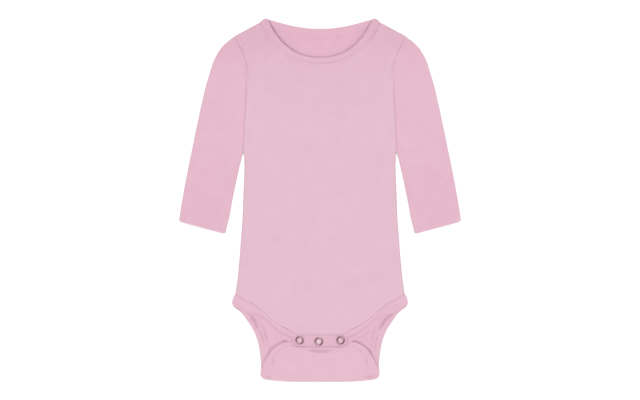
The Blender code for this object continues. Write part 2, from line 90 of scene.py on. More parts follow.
# ---- sizes of the fine shapes, mm ----------------------------------------------
WALL = 0.8             # the single knit
SEAM = 0.05            # what is left open between two sewn pieces
ARM_GAP = 0.18         # the same at the armholes
ROLL_R = 1.5           # reach of the rounding at a side or shoulder edge
MEET_Z = 1.2           # height at which front and back meet along an edge
HEM = 14.0             # depth of the turned hem at the cuffs
WALE, COURSE = 0.9, 0.72   # pitch of the knit's columns and rows

ARMHOLE = (
    (192.9, 101.0), (188.6, 98.9), (184.0, 96.6), (180.0, 94.4), (174.2, 91.6),
    (168.4, 89.5), (158.0, 87.3), (144.0, 87.1), (127.0, 87.1), (116.5, 87.5),
    (106.0, 88.2), (94.4, 88.8), (82.6, 89.6), (69.6, 90.3), (56.6, 90.6),
)
SIDE = (
    (56.6, 90.6), (54.4, 89.6), (51.0, 89.0), (38.0, 89.0), (9.0, 90.0), (-19.0, 91.0),
    (-42.0, 92.7), (-66.0, 94.5), (-90.0, 96.8), (-110.6, 99.7),
)
SLEEVE_OUTER = (
    (101.0, 192.9), (110.2, 185.8), (117.1, 178.8), (121.6, 171.7), (126.2, 162.2),
    (129.2, 152.8), (134.8, 133.9), (139.3, 115.0), (145.4, 86.7), (151.2, 58.4),
    (157.0, 30.1), (162.2, 1.8), (166.6, -25.2),
)
SLEEVE_INNER = (
    (90.8, 56.4), (94.1, 44.2), (98.8, 23.0), (101.7, 8.8), (104.5, -5.3),
    (107.0, -19.5), (110.4, -33.2), (111.8, -39.8),
)
NECK_SEAM_FRONT = (
    (71.0, 209.2), (65.5, 198.0), (58.0, 187.8), (49.0, 178.1), (37.6, 170.6),
    (24.0, 164.5), (12.0, 161.9), (0.0, 161.2),
)
NECK_EDGE_FRONT = (
    (61.4, 213.2), (60.0, 209.3), (56.8, 203.0), (52.1, 195.0), (39.9, 181.7),
    (24.2, 172.5), (11.9, 169.1), (0.0, 168.2),
)
NECK_SEAM_BACK = (
    (71.0, 209.2), (60.0, 202.7), (45.0, 197.2), (28.0, 193.0), (14.0, 190.8),
    (0.0, 190.0),
)
NECK_EDGE_BACK = (
    (61.4, 213.2), (56.6, 211.8), (42.5, 207.8), (28.3, 204.6), (14.2, 202.6),
    (0.0, 202.0),
)
NECK_FOLD = (
    (71.0, 209.2), (69.0, 211.3), (66.2, 213.4), (63.6, 214.1), (61.4, 213.2),
)
LEG_SEAM_FRONT = (
    (99.7, -110.6), (94.4, -114.9), (80.8, -122.0), (71.3, -128.6), (63.6, -134.7),
    (55.7, -141.6), (47.0, -147.6), (37.2, -152.8), (26.5, -158.9),
)
LEG_EDGE_FRONT = (
    (103.7, -123.2), (94.4, -130.3), (86.1, -134.4), (79.1, -136.4), (72.2, -137.8),
    (66.1, -140.4), (60.8, -144.4), (56.1, -148.8), (49.6, -154.0), (43.0, -158.0),
    (36.8, -161.4), (32.0, -163.7),
)
LEG_FOLD = (
    (99.7, -110.6), (101.8, -113.9), (102.9, -117.1), (103.5, -120.3), (103.7, -123.2),
)
LEG_SEAM_BACK = (
    (99.7, -110.6), (93.0, -120.0), (85.5, -129.5), (78.3, -138.5), (71.3, -147.0),
    (66.0, -155.0), (62.5, -163.0), (60.3, -172.0), (58.8, -182.0), (58.0, -193.0),
    (57.8, -203.0),
)
LEG_EDGE_BACK = (
    (103.7, -123.2), (101.7, -125.9), (94.4, -131.6), (85.1, -143.4), (77.8, -155.2),
    (73.5, -167.0), (71.2, -178.6), (69.8, -190.0), (69.7, -201.0),
)
FLAP_SEAM = (
    (57.0, -203.0), (55.0, -195.0), (54.0, -186.5), (50.5, -181.0), (45.0, -176.6),
    (39.5, -173.9), (34.0, -172.4),
)
FLAP_EDGE = (
    (69.6, -201.0), (68.3, -198.5), (65.8, -192.3), (62.9, -187.0), (59.9, -181.7),
    (57.2, -177.8), (53.6, -174.2), (48.1, -170.6), (42.6, -168.0), (37.8, -167.3),
    (34.0, -167.7),
)
FOLD_LINE = (
    (0.0, -214.4), (30.0, -214.3), (45.0, -213.6), (58.0, -212.4), (64.0, -211.6),
    (68.0, -209.8), (70.6, -206.9),
)
TAB_SIDE = (
    (-158.9, 26.5), (-161.2, 29.6), (-163.7, 32.0), (-167.4, 33.2), (-170.4, 31.8),
    (-172.2, 28.4), (-173.0, 23.0),
)

# ---- folds and creases: plan points, half width, height (a trough is negative) ---
FRONT_FOLDS = (
    ("armhole_left", ((-87.6, 161.5), (-85.6, 152.0), (-83.0, 139.6)), 0.85, -1.15),
    ("armhole_right", ((88.4, 164.6), (86.0, 157.0), (84.2, 146.5)), 0.85, -1.15),
    ("beside_left", ((-84.4, 139.0), (-83.6, 127.4), (-84.1, 112.0)), 1.6, 0.30),
    ("beside_right", ((83.6, 143.0), (82.0, 129.8), (82.6, 112.0)), 1.6, 0.30),
    ("shoulder_left", ((-93.0, 188.0), (-88.5, 177.0), (-86.0, 168.0)), 2.0, 0.25),
    ("armpit_left", ((-87.0, 62.0), (-80.0, 68.0), (-70.0, 78.0)), 3.2, -0.22),
    ("armpit_right", ((87.0, 60.0), (79.0, 67.0), (71.0, 74.0)), 3.0, -0.20),
    ("chest_left", ((-58.0, 150.0), (-52.0, 120.0), (-55.0, 86.0)), 11.0, -0.20),
    ("chest_right", ((60.0, 146.0), (50.0, 112.0), (53.0, 70.0)), 12.0, -0.20),
    ("waist", ((-70.0, 12.0), (-30.0, 4.0), (10.0, 9.0)), 9.0, -0.18),
    ("belly", ((8.0, -38.0), (40.0, -44.0), (74.0, -36.0)), 9.0, -0.18),
    ("above_tab_left", ((-30.0, -150.0), (-34.0, -132.0), (-42.0, -112.0)), 4.5, -0.30),
    ("above_tab_right", ((29.0, -150.0), (35.0, -134.0), (45.0, -116.0)), 4.5, -0.30),
    ("above_tab_middle", ((-2.0, -153.0), (1.0, -140.0), (0.0, -126.0)), 5.0, 0.18),
    ("hip_ridge_right", ((55.5, -135.7), (50.7, -141.6), (44.8, -147.0)), 1.8, 0.25),
    ("neck_right", ((72.6, 207.4), (67.4, 200.8), (61.6, 192.6), (57.6, 186.0)), 2.1, -0.85),
    ("neck_right_outer", ((76.0, 203.6), (70.6, 195.6), (65.4, 188.4)), 1.5, 0.35),
    ("neck_left", ((-68.6, 202.8), (-63.4, 194.8), (-58.0, 187.6)), 1.6, -0.30),
)
SLEEVE_FOLDS = {       # the sign of x is the sleeve's own
    -1: (
        ("cap_light", ((-97.5, 189.0), (-93.4, 180.0), (-91.0, 171.0)), 1.6, 0.25),
        ("elbow", ((-100.0, 58.0), (-112.0, 66.0), (-128.0, 66.0)), 5.0, -0.30),
        ("inner", ((-95.5, 60.0), (-103.0, 34.0), (-108.5, 8.0)), 4.0, -0.28),
        ("outer", ((-134.0, 108.0), (-139.5, 80.0), (-146.0, 48.0)), 5.0, -0.22),
        ("fore", ((-126.0, 24.0), (-130.5, 2.0), (-136.0, -18.0)), 6.5, -0.22),
        ("cap", ((-103.0, 168.0), (-108.0, 150.0), (-108.0, 128.0)), 7.0, -0.22),
    ),
    1: (
        ("cap_light", ((100.0, 187.0), (96.0, 179.5), (93.0, 171.0)), 1.6, 0.25),
        ("elbow", ((101.0, 52.0), (114.0, 58.0), (129.0, 56.0)), 4.5, -0.28),
        ("inner", ((96.0, 62.0), (102.5, 37.0), (108.0, 12.0)), 4.0, -0.28),
        ("outer", ((131.0, 122.0), (137.0, 94.0), (144.0, 60.0)), 5.5, -0.22),
        ("fore", ((124.0, 28.0), (131.0, 4.0), (134.0, -16.0)), 6.5, -0.22),
        ("cap", ((104.0, 164.0), (106.0, 146.0), (109.0, 120.0)), 7.0, -0.22),
    ),
}
LOWER_FOLDS = (        # the lower layer's inner side, seen inside the openings
    ("leg_left_hollow", ((-83.4, -135.4), (-80.8, -139.0), (-77.9, -142.2), (-76.6, -144.8), (-75.4, -147.8), (-74.6, -150.6), (-73.8, -155.0)), 1.2, -1.80),
    ("leg_left_lip", ((-84.6, -141.0), (-81.6, -143.4), (-79.6, -146.6)), 1.4, 1.15),
    ("leg_left_lip_inner", ((-78.0, -137.6), (-73.6, -141.0), (-71.4, -145.6)), 1.6, 0.85),
    ("leg_left_outer", ((-75.0, -148.6), (-72.0, -153.4), (-69.6, -158.1), (-68.4, -161.6), (-68.2, -165.6), (-67.3, -170.0), (-66.5, -174.0)), 0.95, -1.20),
    ("leg_left_inner", ((-72.6, -144.6), (-70.0, -147.2), (-66.5, -150.0), (-65.4, -153.6), (-64.7, -158.1), (-63.1, -161.9), (-62.8, -164.0), (-62.5, -166.6)), 0.85, -0.85),
    ("leg_left_ridge", ((-70.6, -150.6), (-68.4, -155.0), (-66.6, -159.6), (-65.6, -164.4), (-65.0, -170.0), (-64.0, -177.0)), 1.1, 0.45),
    ("leg_left_rim", ((-47.4, -165.2), (-53.5, -168.8), (-59.6, -174.8), (-63.6, -181.6)), 1.1, 0.45),
    ("leg_right_hollow", ((87.6, -132.6), (83.8, -135.8), (80.4, -138.4), (77.2, -141.7), (75.2, -144.8), (72.8, -148.6), (71.3, -151.6), (68.8, -157.6)), 1.2, -1.80),
    ("leg_right_lip", ((86.0, -139.4), (81.0, -144.0), (77.6, -149.6), (75.0, -155.4)), 1.5, 1.05),
    ("leg_right_lip_inner", ((78.6, -136.8), (73.4, -141.4), (69.4, -147.0)), 1.5, 0.75),
    ("leg_right_inner", ((62.2, -147.6), (64.4, -152.6), (62.8, -157.0), (61.4, -161.0), (61.2, -166.4)), 0.85, -0.95),
    ("leg_right_outer", ((68.6, -156.4), (67.4, -162.4), (66.2, -166.4), (66.0, -170.6), (65.4, -174.0), (64.6, -178.0), (63.4, -181.6)), 0.85, -1.10),
    ("leg_right_ridge", ((65.6, -151.4), (66.2, -157.0), (64.4, -163.0), (63.8, -170.0), (62.8, -177.0)), 1.1, 0.45),
    ("leg_right_fold", ((41.6, -165.8), (46.4, -163.0), (52.0, -160.2), (58.0, -155.4), (62.2, -150.6)), 0.85, -1.15),
    ("leg_right_fold_lip", ((42.0, -163.2), (47.0, -160.2), (53.0, -156.4)), 1.0, 0.40),
    ("leg_right_rim", ((47.0, -166.0), (53.0, -169.0), (59.0, -175.0), (62.6, -181.0)), 1.0, 0.30),
    ("by_flap_left", ((-38.0, -166.9), (-44.0, -167.8), (-48.6, -169.8), (-54.2, -173.6), (-57.8, -177.2), (-60.6, -181.2), (-63.7, -186.6), (-66.6, -192.0), (-69.0, -199.0)), 1.0, -0.80),
    ("by_flap_left_top", ((-39.5, -166.6), (-42.5, -167.0), (-47.0, -168.6)), 0.9, -0.95),
    ("by_flap_right", ((38.0, -166.9), (44.0, -167.8), (48.6, -169.8), (54.2, -173.6), (57.8, -177.2), (60.6, -181.2), (63.7, -186.6), (66.6, -192.0), (69.0, -199.0)), 1.0, -0.60),
    ("by_flap_right_top", ((39.0, -166.6), (42.5, -167.0), (47.0, -168.6)), 0.9, -0.90),
    ("neck_left", ((-50.0, 196.0), (-42.0, 188.0), (-36.0, 181.0)), 4.0, -0.15),
    ("neck_right", ((52.0, 195.0), (45.0, 188.0), (39.0, 182.0)), 4.0, -0.15),
)
RAISED = (             # where the lower layer stands off the surface, both sides alike
    ("leg", ((84.0, -137.0), (76.0, -144.4), (70.0, -152.0), (66.0, -161.0), (64.0, -171.0), (62.8, -181.0)), 5.2, 0.85),
)
UNDER_FOLDS = (        # hollows of the back's outer side, which lies on the surface
    ("across_low", ((-62.0, -66.0), (-20.0, -74.0), (34.0, -70.0), (70.0, -60.0)), 4.5, 0.45),
    ("across_waist", ((-70.0, 18.0), (-24.0, 9.0), (26.0, 14.0)), 5.0, 0.38),
    ("long_left", ((-52.0, 132.0), (-57.0, 92.0), (-50.0, 52.0)), 6.0, 0.40),
    ("long_right", ((46.0, 120.0), (55.0, 84.0), (52.0, 34.0)), 5.0, 0.35),
    ("crotch_left", ((-40.0, -196.0), (-44.0, -170.0), (-56.0, -148.0)), 3.4, 0.40),
    ("crotch_right", ((36.0, -198.0), (42.0, -176.0), (50.0, -152.0)), 3.2, 0.38),
    ("armpit_left", ((-84.0, 62.0), (-74.0, 72.0), (-66.0, 88.0)), 3.2, 0.35),
    ("armpit_right", ((85.0, 60.0), (77.0, 68.0), (70.0, 82.0)), 3.0, 0.35),
)
FLAP_FOLDS = (         # on the folded-up flap, from above
    ("pucker", ((-16.5, -177.5), (-7.0, -178.2), (4.0, -178.5), (15.5, -178.1)), 1.25, -2.30),
    ("pucker_lip", ((-12.0, -182.0), (-2.0, -182.8), (11.0, -182.4)), 1.6, 0.30),
    ("corner_ridge", ((-68.6, -206.0), (-65.0, -206.8), (-60.0, -207.8), (-56.0, -208.4)), 0.9, 0.80),
    ("corner_trough", ((-68.0, -208.4), (-64.6, -209.2), (-60.6, -209.8), (-55.0, -210.2)), 0.85, -1.10),
    ("corner_right", ((50.0, -209.6), (54.4, -209.2), (58.6, -208.7), (65.6, -207.6)), 1.0, -1.35),
    ("tab_left", ((-27.0, -176.0), (-31.0, -182.0), (-34.0, -190.0)), 2.6, -0.25),
    ("tab_right", ((25.0, -176.0), (29.0, -181.0), (33.0, -189.0)), 2.6, -0.25),
    ("along_left", ((-37.0, -173.4), (-43.7, -177.0), (-46.4, -179.4), (-49.0, -181.7), (-51.9, -184.7), (-54.2, -188.6), (-54.2, -193.0), (-53.4, -199.0)), 2.2, -0.66),
    ("along_left_lip", ((-46.4, -175.0), (-51.2, -178.6), (-55.2, -183.0), (-57.8, -188.0)), 1.6, 0.30),
    ("along_right", ((38.0, -173.2), (41.3, -174.8), (44.8, -178.2), (47.8, -181.0), (50.7, -184.0), (53.2, -187.4), (54.0, -192.0)), 2.3, -0.56),
    ("along_right_lip", ((46.4, -175.0), (51.2, -178.8), (55.0, -183.0)), 1.6, 0.25),
    ("low", ((-30.0, -203.0), (0.0, -204.6), (34.0, -202.6)), 4.0, -0.15),
)
NECK_BAND_FOLDS = (    # front half and corners of the neckband, from above
    ("corner_right", ((72.6, 207.4), (67.4, 200.8), (61.6, 192.6), (57.6, 186.0)), 2.1, -0.85),
    ("corner_right_inner", ((65.8, 210.5), (61.8, 203.6), (57.6, 196.4)), 1.5, 0.35),
    ("corner_left", ((-68.6, 202.8), (-63.4, 194.8), (-58.0, 187.6)), 1.6, -0.30),
)


# ---- curves --------------------------------------------------------------------
def monotone(table):
    t = np.array(sorted(table), float)
    x, y = t[:, 0], t[:, 1]
    h = np.diff(x)
    d = np.diff(y) / h
    m = np.zeros(len(x))
    m[0], m[-1] = d[0], d[-1]
    for i in range(1, len(x) - 1):
        if d[i - 1] * d[i] > 0:
            w1, w2 = 2 * h[i] + h[i - 1], h[i] + 2 * h[i - 1]
            m[i] = (w1 + w2) / (w1 / d[i - 1] + w2 / d[i])

    def value(v):
        v = np.clip(np.asarray(v, float), x[0], x[-1])
        k = np.clip(np.searchsorted(x, v) - 1, 0, len(h) - 1)
        s = (v - x[k]) / h[k]
        return (
            y[k] * (1 + 2 * s) * (1 - s) ** 2
            + m[k] * h[k] * s * (1 - s) ** 2
            + y[k + 1] * s * s * (3 - 2 * s)
            + m[k + 1] * h[k] * s * s * (s - 1)
        )

    return value


def cubic(t, v):
    h = np.diff(t)
    d = np.diff(v) / h
    m = np.empty(len(t))
    m[0], m[-1] = d[0], d[-1]
    m[1:-1] = (d[:-1] * h[1:] + d[1:] * h[:-1]) / (h[:-1] + h[1:])

    def value(s):
        s = np.clip(np.asarray(s, float), t[0], t[-1])
        k = np.clip(np.searchsorted(t, s) - 1, 0, len(h) - 1)
        a = (s - t[k]) / h[k]
        return (
            v[k] * (1 + 2 * a) * (1 - a) ** 2
            + m[k] * h[k] * a * (1 - a) ** 2
            + v[k + 1] * a * a * (3 - 2 * a)
            + m[k + 1] * h[k] * a * a * (a - 1)
        )

    return value


def path(points):
    """A smooth curve through plan points, read by its share of the length."""
    p = np.array(points, float)
    step = np.hypot(*np.diff(p, axis=0).T)
    at = np.concatenate([[0.0], np.cumsum(step)])
    fx, fy = cubic(at, p[:, 0]), cubic(at, p[:, 1])
    fine = np.linspace(0, at[-1], 1200)
    q = np.stack([fx(fine), fy(fine)], -1)
    run = np.concatenate([[0.0], np.cumsum(np.hypot(*np.diff(q, axis=0).T))])

    def value(share):
        s = np.interp(np.asarray(share, float) * run[-1], run, fine)
        return np.stack([fx(s), fy(s)], -1)

    value.length = run[-1]
    return value


def ease(t):
    t = np.clip(t, 0.0, 1.0)
    return t * t * (3 - 2 * t)


def rise(t):
    t = np.clip(t, 0.0, 1.0)
    return 1 - (1 - t) ** 2


armhole = monotone(ARMHOLE)
side = monotone(SIDE)
fold_edge = monotone(FOLD_LINE)
leg_seam_half = monotone([(y, x) for x, y in LEG_SEAM_BACK])
flap_seam_half = monotone([(y, x) for x, y in FLAP_SEAM])
tab_half = monotone(TAB_SIDE)
neck_seam_front = path(NECK_SEAM_FRONT)
neck_seam_back = path(NECK_SEAM_BACK)
neck_edge_front = path(NECK_EDGE_FRONT)
neck_edge_back = path(NECK_EDGE_BACK)
leg_seam_front = path(LEG_SEAM_FRONT)
leg_edge_front = path(LEG_EDGE_FRONT)


def body_half(y):
    y = np.asarray(y, float)
    return np.where(y >= ARMPIT_Y, armhole(y), side(y))


def fold_centre(x):
    return fold_edge(np.abs(x)) + EDGE_R


def stand_off(points, towards, gap=SEAM):
    p = np.array(points, float)
    d = np.diff(p, axis=0)
    n = np.stack([-d[:, 1], d[:, 0]], -1) / np.hypot(*d.T)[:, None]
    at = np.concatenate([n[:1], n[:-1] + n[1:], n[-1:]])
    at /= np.hypot(*at.T)[:, None]
    k = len(p) // 2
    if ((np.array(towards, float) - p[k]) * at[k]).sum() < 0:
        at = -at
    return p + at * gap


def loft(x, y):
    x = np.abs(x)
    from_side = np.maximum(body_half(np.maximum(y, HIP_POINT[1])) - x, 0.0)
    from_side = from_side + ARMHOLE_SHARE * np.maximum(y - ARMPIT_Y, 0.0)
    slope = (NECK_POINT[1] - SHOULDER_TIP[1]) / (SHOULDER_TIP[0] - NECK_POINT[0])
    from_shoulder = NECK_POINT[1] + (NECK_POINT[0] - x) * slope - y
    return BODY_LOFT * rise(from_side / LOFT_REACH) * rise(from_shoulder / LOFT_REACH)


def to_tab(x, y):
    down = ease((-92.0 - y) / (-92.0 - TAB_TOP_Y))
    across = 1 - ease((np.abs(x) - 24.0) / 56.0)
    return down * across


def front_underside(x, y, base=FRONT_BASE):
    near = to_tab(x, y)
    return base + loft(x, y) * (1 - near) + (TAB_BASE - base) * near


# ---- distances, folds ------------------------------------------------------------
def distance(x, y, line):
    """Distance to a plan line of points, and the share of its length there."""
    x, y = np.asarray(x, float), np.asarray(y, float)
    line = np.asarray(line, float)
    seg = np.diff(line, axis=0)
    size = np.hypot(*seg.T)
    run = np.concatenate([[0.0], np.cumsum(size)])
    best, where = np.full(x.shape, 1e9), np.zeros(x.shape)
    for k in range(len(seg)):
        px, py = x - line[k, 0], y - line[k, 1]
        t = np.clip((px * seg[k, 0] + py * seg[k, 1]) / size[k] ** 2, 0, 1)
        d = np.hypot(px - t * seg[k, 0], py - t * seg[k, 1])
        near = d < best
        best = np.where(near, d, best)
        where = np.where(near, (run[k] + t * size[k]) / run[-1], where)
    return best, where


def folded(x, y, table):
    """Height of soft troughs and ridges at plan points."""
    total = np.zeros(np.shape(x))
    for _, points, width, height in table:
        p = np.array(points, float)
        low, high = p.min(0) - 3.2 * width, p.max(0) + 3.2 * width
        near = (x > low[0]) & (x < high[0]) & (y > low[1]) & (y < high[1])
        if near.any():
            d, share = distance(x[near], y[near], path(points)(np.linspace(0, 1, 28)))
            body = np.exp(-((d / width) ** 2))
            total[near] += height * body * (0.25 + 0.75 * ease(share / 0.3) * ease((1 - share) / 0.3))
    return total


def drift(x, y, step, seed):
    """A smooth wander between -1 and 1, the same at each run."""
    a = np.sin(x / step + seed) * np.cos(y / (1.3 * step) - 1.7 * seed)
    b = np.sin((x + 0.6 * y) / (0.62 * step) + 2.3 * seed) * np.sin((y - 0.4 * x) / (0.71 * step) + seed)
    return 0.6 * a + 0.4 * b


def groove(d, depth, width):
    return -depth * np.exp(-((d / width) ** 2))


def rolled(d, reach=ROLL_R):
    """0 at an edge, 1 a little way in, as a quarter round."""
    return np.sqrt(np.maximum(1 - (1 - np.clip(d / reach, 0, 1)) ** 2, 0.0))


SHOULDER = np.array([NECK_POINT, SHOULDER_TIP])
ARM_LINE = np.array([(float(armhole(y)), y) for y in np.linspace(ARMPIT_Y, 192.9, 70)])
SIDE_LINE = np.array([(float(side(y)), y) for y in np.linspace(ARMPIT_Y, HIP_POINT[1], 50)])
NECK_LINE = neck_seam_front(np.linspace(0, 1, 60))
NECK_LINE_BACK = neck_seam_back(np.linspace(0, 1, 40))
LEG_LINE = leg_seam_front(np.linspace(0, 1, 60))
LEG_RUN = leg_seam_front.length
TAB_LINE = np.array([(0.0, TAB_TOP_Y), (TAB_HALF, TAB_TOP_Y)])
LEG_LINE_BACK = np.array(LEG_SEAM_BACK)


def spaced(low, high, step, near=(0.0, 0.2, 0.45, 0.8, 1.2, 1.7, 2.3, 2.8, 3.3, 3.9)):
    """Values from low to high, closer together at both ends."""
    near = np.array(near)
    n = max(int(round((high - low - 2 * near[-1]) / step)), 1)
    middle = np.linspace(low + near[-1], high - near[-1], n + 1)
    return np.concatenate([low + near[:-1], middle, (high - near[:-1])[::-1]])


# ---- meshes ----------------------------------------------------------------------
def add_object(name, verts, faces, mat, angle=50.0):
    verts = np.asarray(verts, float) * MM
    mesh = bpy.data.meshes.new(name)
    mesh.from_pydata(verts.tolist(), [], faces)
    bm = bmesh.new()
    bm.from_mesh(mesh)
    bmesh.ops.recalc_face_normals(bm, faces=bm.faces)
    bm.to_mesh(mesh)
    bm.free()
    mesh.materials.append(mat)
    mesh.shade_smooth()
    mesh.set_sharp_from_angle(angle=math.radians(angle))
    obj = bpy.data.objects.new(name, mesh)
    bpy.context.scene.collection.objects.link(obj)
    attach(obj, "root")
    return obj


def grid_faces(rows, cols, closed, start=0, flip=False):
    i = np.arange(rows - 1)[:, None]
    j = np.arange(cols if closed else cols - 1)[None, :]
    k = (j + 1) % cols
    quad = np.stack(
        [i * cols + j, i * cols + k, (i + 1) * cols + k, (i + 1) * cols + j], -1
    ).reshape(-1, 4) + start
    return (quad[:, ::-1] if flip else quad).tolist()


def shell(name, outer, inner, mat, closed=False, angle=50.0):
    """A wall between two grids of points (rows, columns, 3), rims included."""
    rows, cols = outer.shape[:2]
    verts = np.concatenate([outer.reshape(-1, 3), inner.reshape(-1, 3)])
    deep = rows * cols
    faces = grid_faces(rows, cols, closed) + grid_faces(rows, cols, closed, deep, True)
    across = cols if closed else cols - 1
    for i in (0, rows - 1):
        for j in range(across):
            a, b = i * cols + j, i * cols + (j + 1) % cols
            faces.append((a, b, deep + b, deep + a) if i else (b, a, deep + a, deep + b))
    if not closed:
        for j in (0, cols - 1):
            for i in range(rows - 1):
                a, b = i * cols + j, (i + 1) * cols + j
                faces.append((a, b, deep + b, deep + a) if not j else (b, a, deep + a, deep + b))
    return add_object(name, verts, faces, mat, angle)


def swept(name, loops, mat, closed=False, angle=50.0):
    """A body through closed section loops (stations, points, 3); an open one is
    closed with a fan at each end."""
    rows, cols = loops.shape[:2]
    verts = loops.reshape(-1, 3)
    if closed:
        i = np.arange(rows)[:, None]
        j = np.arange(cols)[None, :]
        m, k = (i + 1) % rows, (j + 1) % cols
        faces = np.stack([i * cols + j, i * cols + k, m * cols + k, m * cols + j], -1).reshape(-1, 4).tolist()
    else:
        faces = grid_faces(rows, cols, True)
        verts = np.concatenate([verts, loops[:1].mean(1), loops[-1:].mean(1)])
        first, last = rows * cols, rows * cols + 1
        for j in range(cols):
            k = (j + 1) % cols
            faces.append((k, j, first))
            faces.append(((rows - 1) * cols + j, (rows - 1) * cols + k, last))
    return add_object(name, verts, faces, mat, angle)


def normals_of(grid, closed=False):
    """Unit normals of a grid of points (rows, columns, 3)."""
    if closed:
        along = np.roll(grid, -1, 1) - np.roll(grid, 1, 1)
    else:
        along = np.gradient(grid, axis=1)
    n = np.cross(along, np.gradient(grid, axis=0))
    return n / np.maximum(np.linalg.norm(n, axis=-1, keepdims=True), 1e-9)


# ---- materials -------------------------------------------------------------------
def node(tree, kind, **values):
    made = tree.nodes.new(kind)
    for key, value in values.items():
        if key.startswith("in") and key[2:].isdigit():
            made.inputs[int(key[2:])].default_value = value
        else:
            setattr(made, key, value)
    return made


def maths(tree, operation, a, b=None, clamp=False):
    made = node(tree, "ShaderNodeMath", operation=operation, use_clamp=clamp)
    for k, value in enumerate((a, b)):
        if value is None:
            continue
        if isinstance(value, (int, float)):
            made.inputs[k].default_value = value
        else:
            tree.links.new(value, made.inputs[k])
    return made.outputs[0]


def mapped(tree, turn=0.0):
    place = node(tree, "ShaderNodeTexCoord")
    turned = node(tree, "ShaderNodeMapping")
    turned.inputs["Rotation"].default_value = (0.0, 0.0, turn)
    tree.links.new(place.outputs["Object"], turned.inputs["Vector"])
    return turned.outputs["Vector"]


def painted_shade_share(tree, shade_and_highlight_spots, start):
    """How much painted shade darkens the colour, from soft ovals (x, y, half sizes, amount) in mm; a negative amount
    lightens it as painted highlight.
    """
    place = node(tree, "ShaderNodeTexCoord")
    parts = node(tree, "ShaderNodeSeparateXYZ")
    tree.links.new(place.outputs["Object"], parts.inputs[0])
    total = None
    for x, y, rx, ry, amount in shade_and_highlight_spots:
        across = maths(tree, "MULTIPLY", maths(tree, "SUBTRACT", parts.outputs["X"], x * MM), 1 / (rx * MM))
        ahead = maths(tree, "MULTIPLY", maths(tree, "SUBTRACT", parts.outputs["Y"], y * MM), 1 / (ry * MM))
        d = maths(tree, "SQRT", maths(tree, "ADD", maths(tree, "POWER", maths(tree, "ABSOLUTE", across), 2.0),
                                      maths(tree, "POWER", maths(tree, "ABSOLUTE", ahead), 2.0)))
        fall = node(tree, "ShaderNodeMapRange", interpolation_type="SMOOTHSTEP")
        for key, value in (("From Min", 0.0), ("From Max", 1.0), ("To Min", amount), ("To Max", 0.0)):
            fall.inputs[key].default_value = value
        tree.links.new(d, fall.inputs["Value"])
        total = maths(tree, "ADD", fall.outputs["Result"], start if total is None else total)
    return total


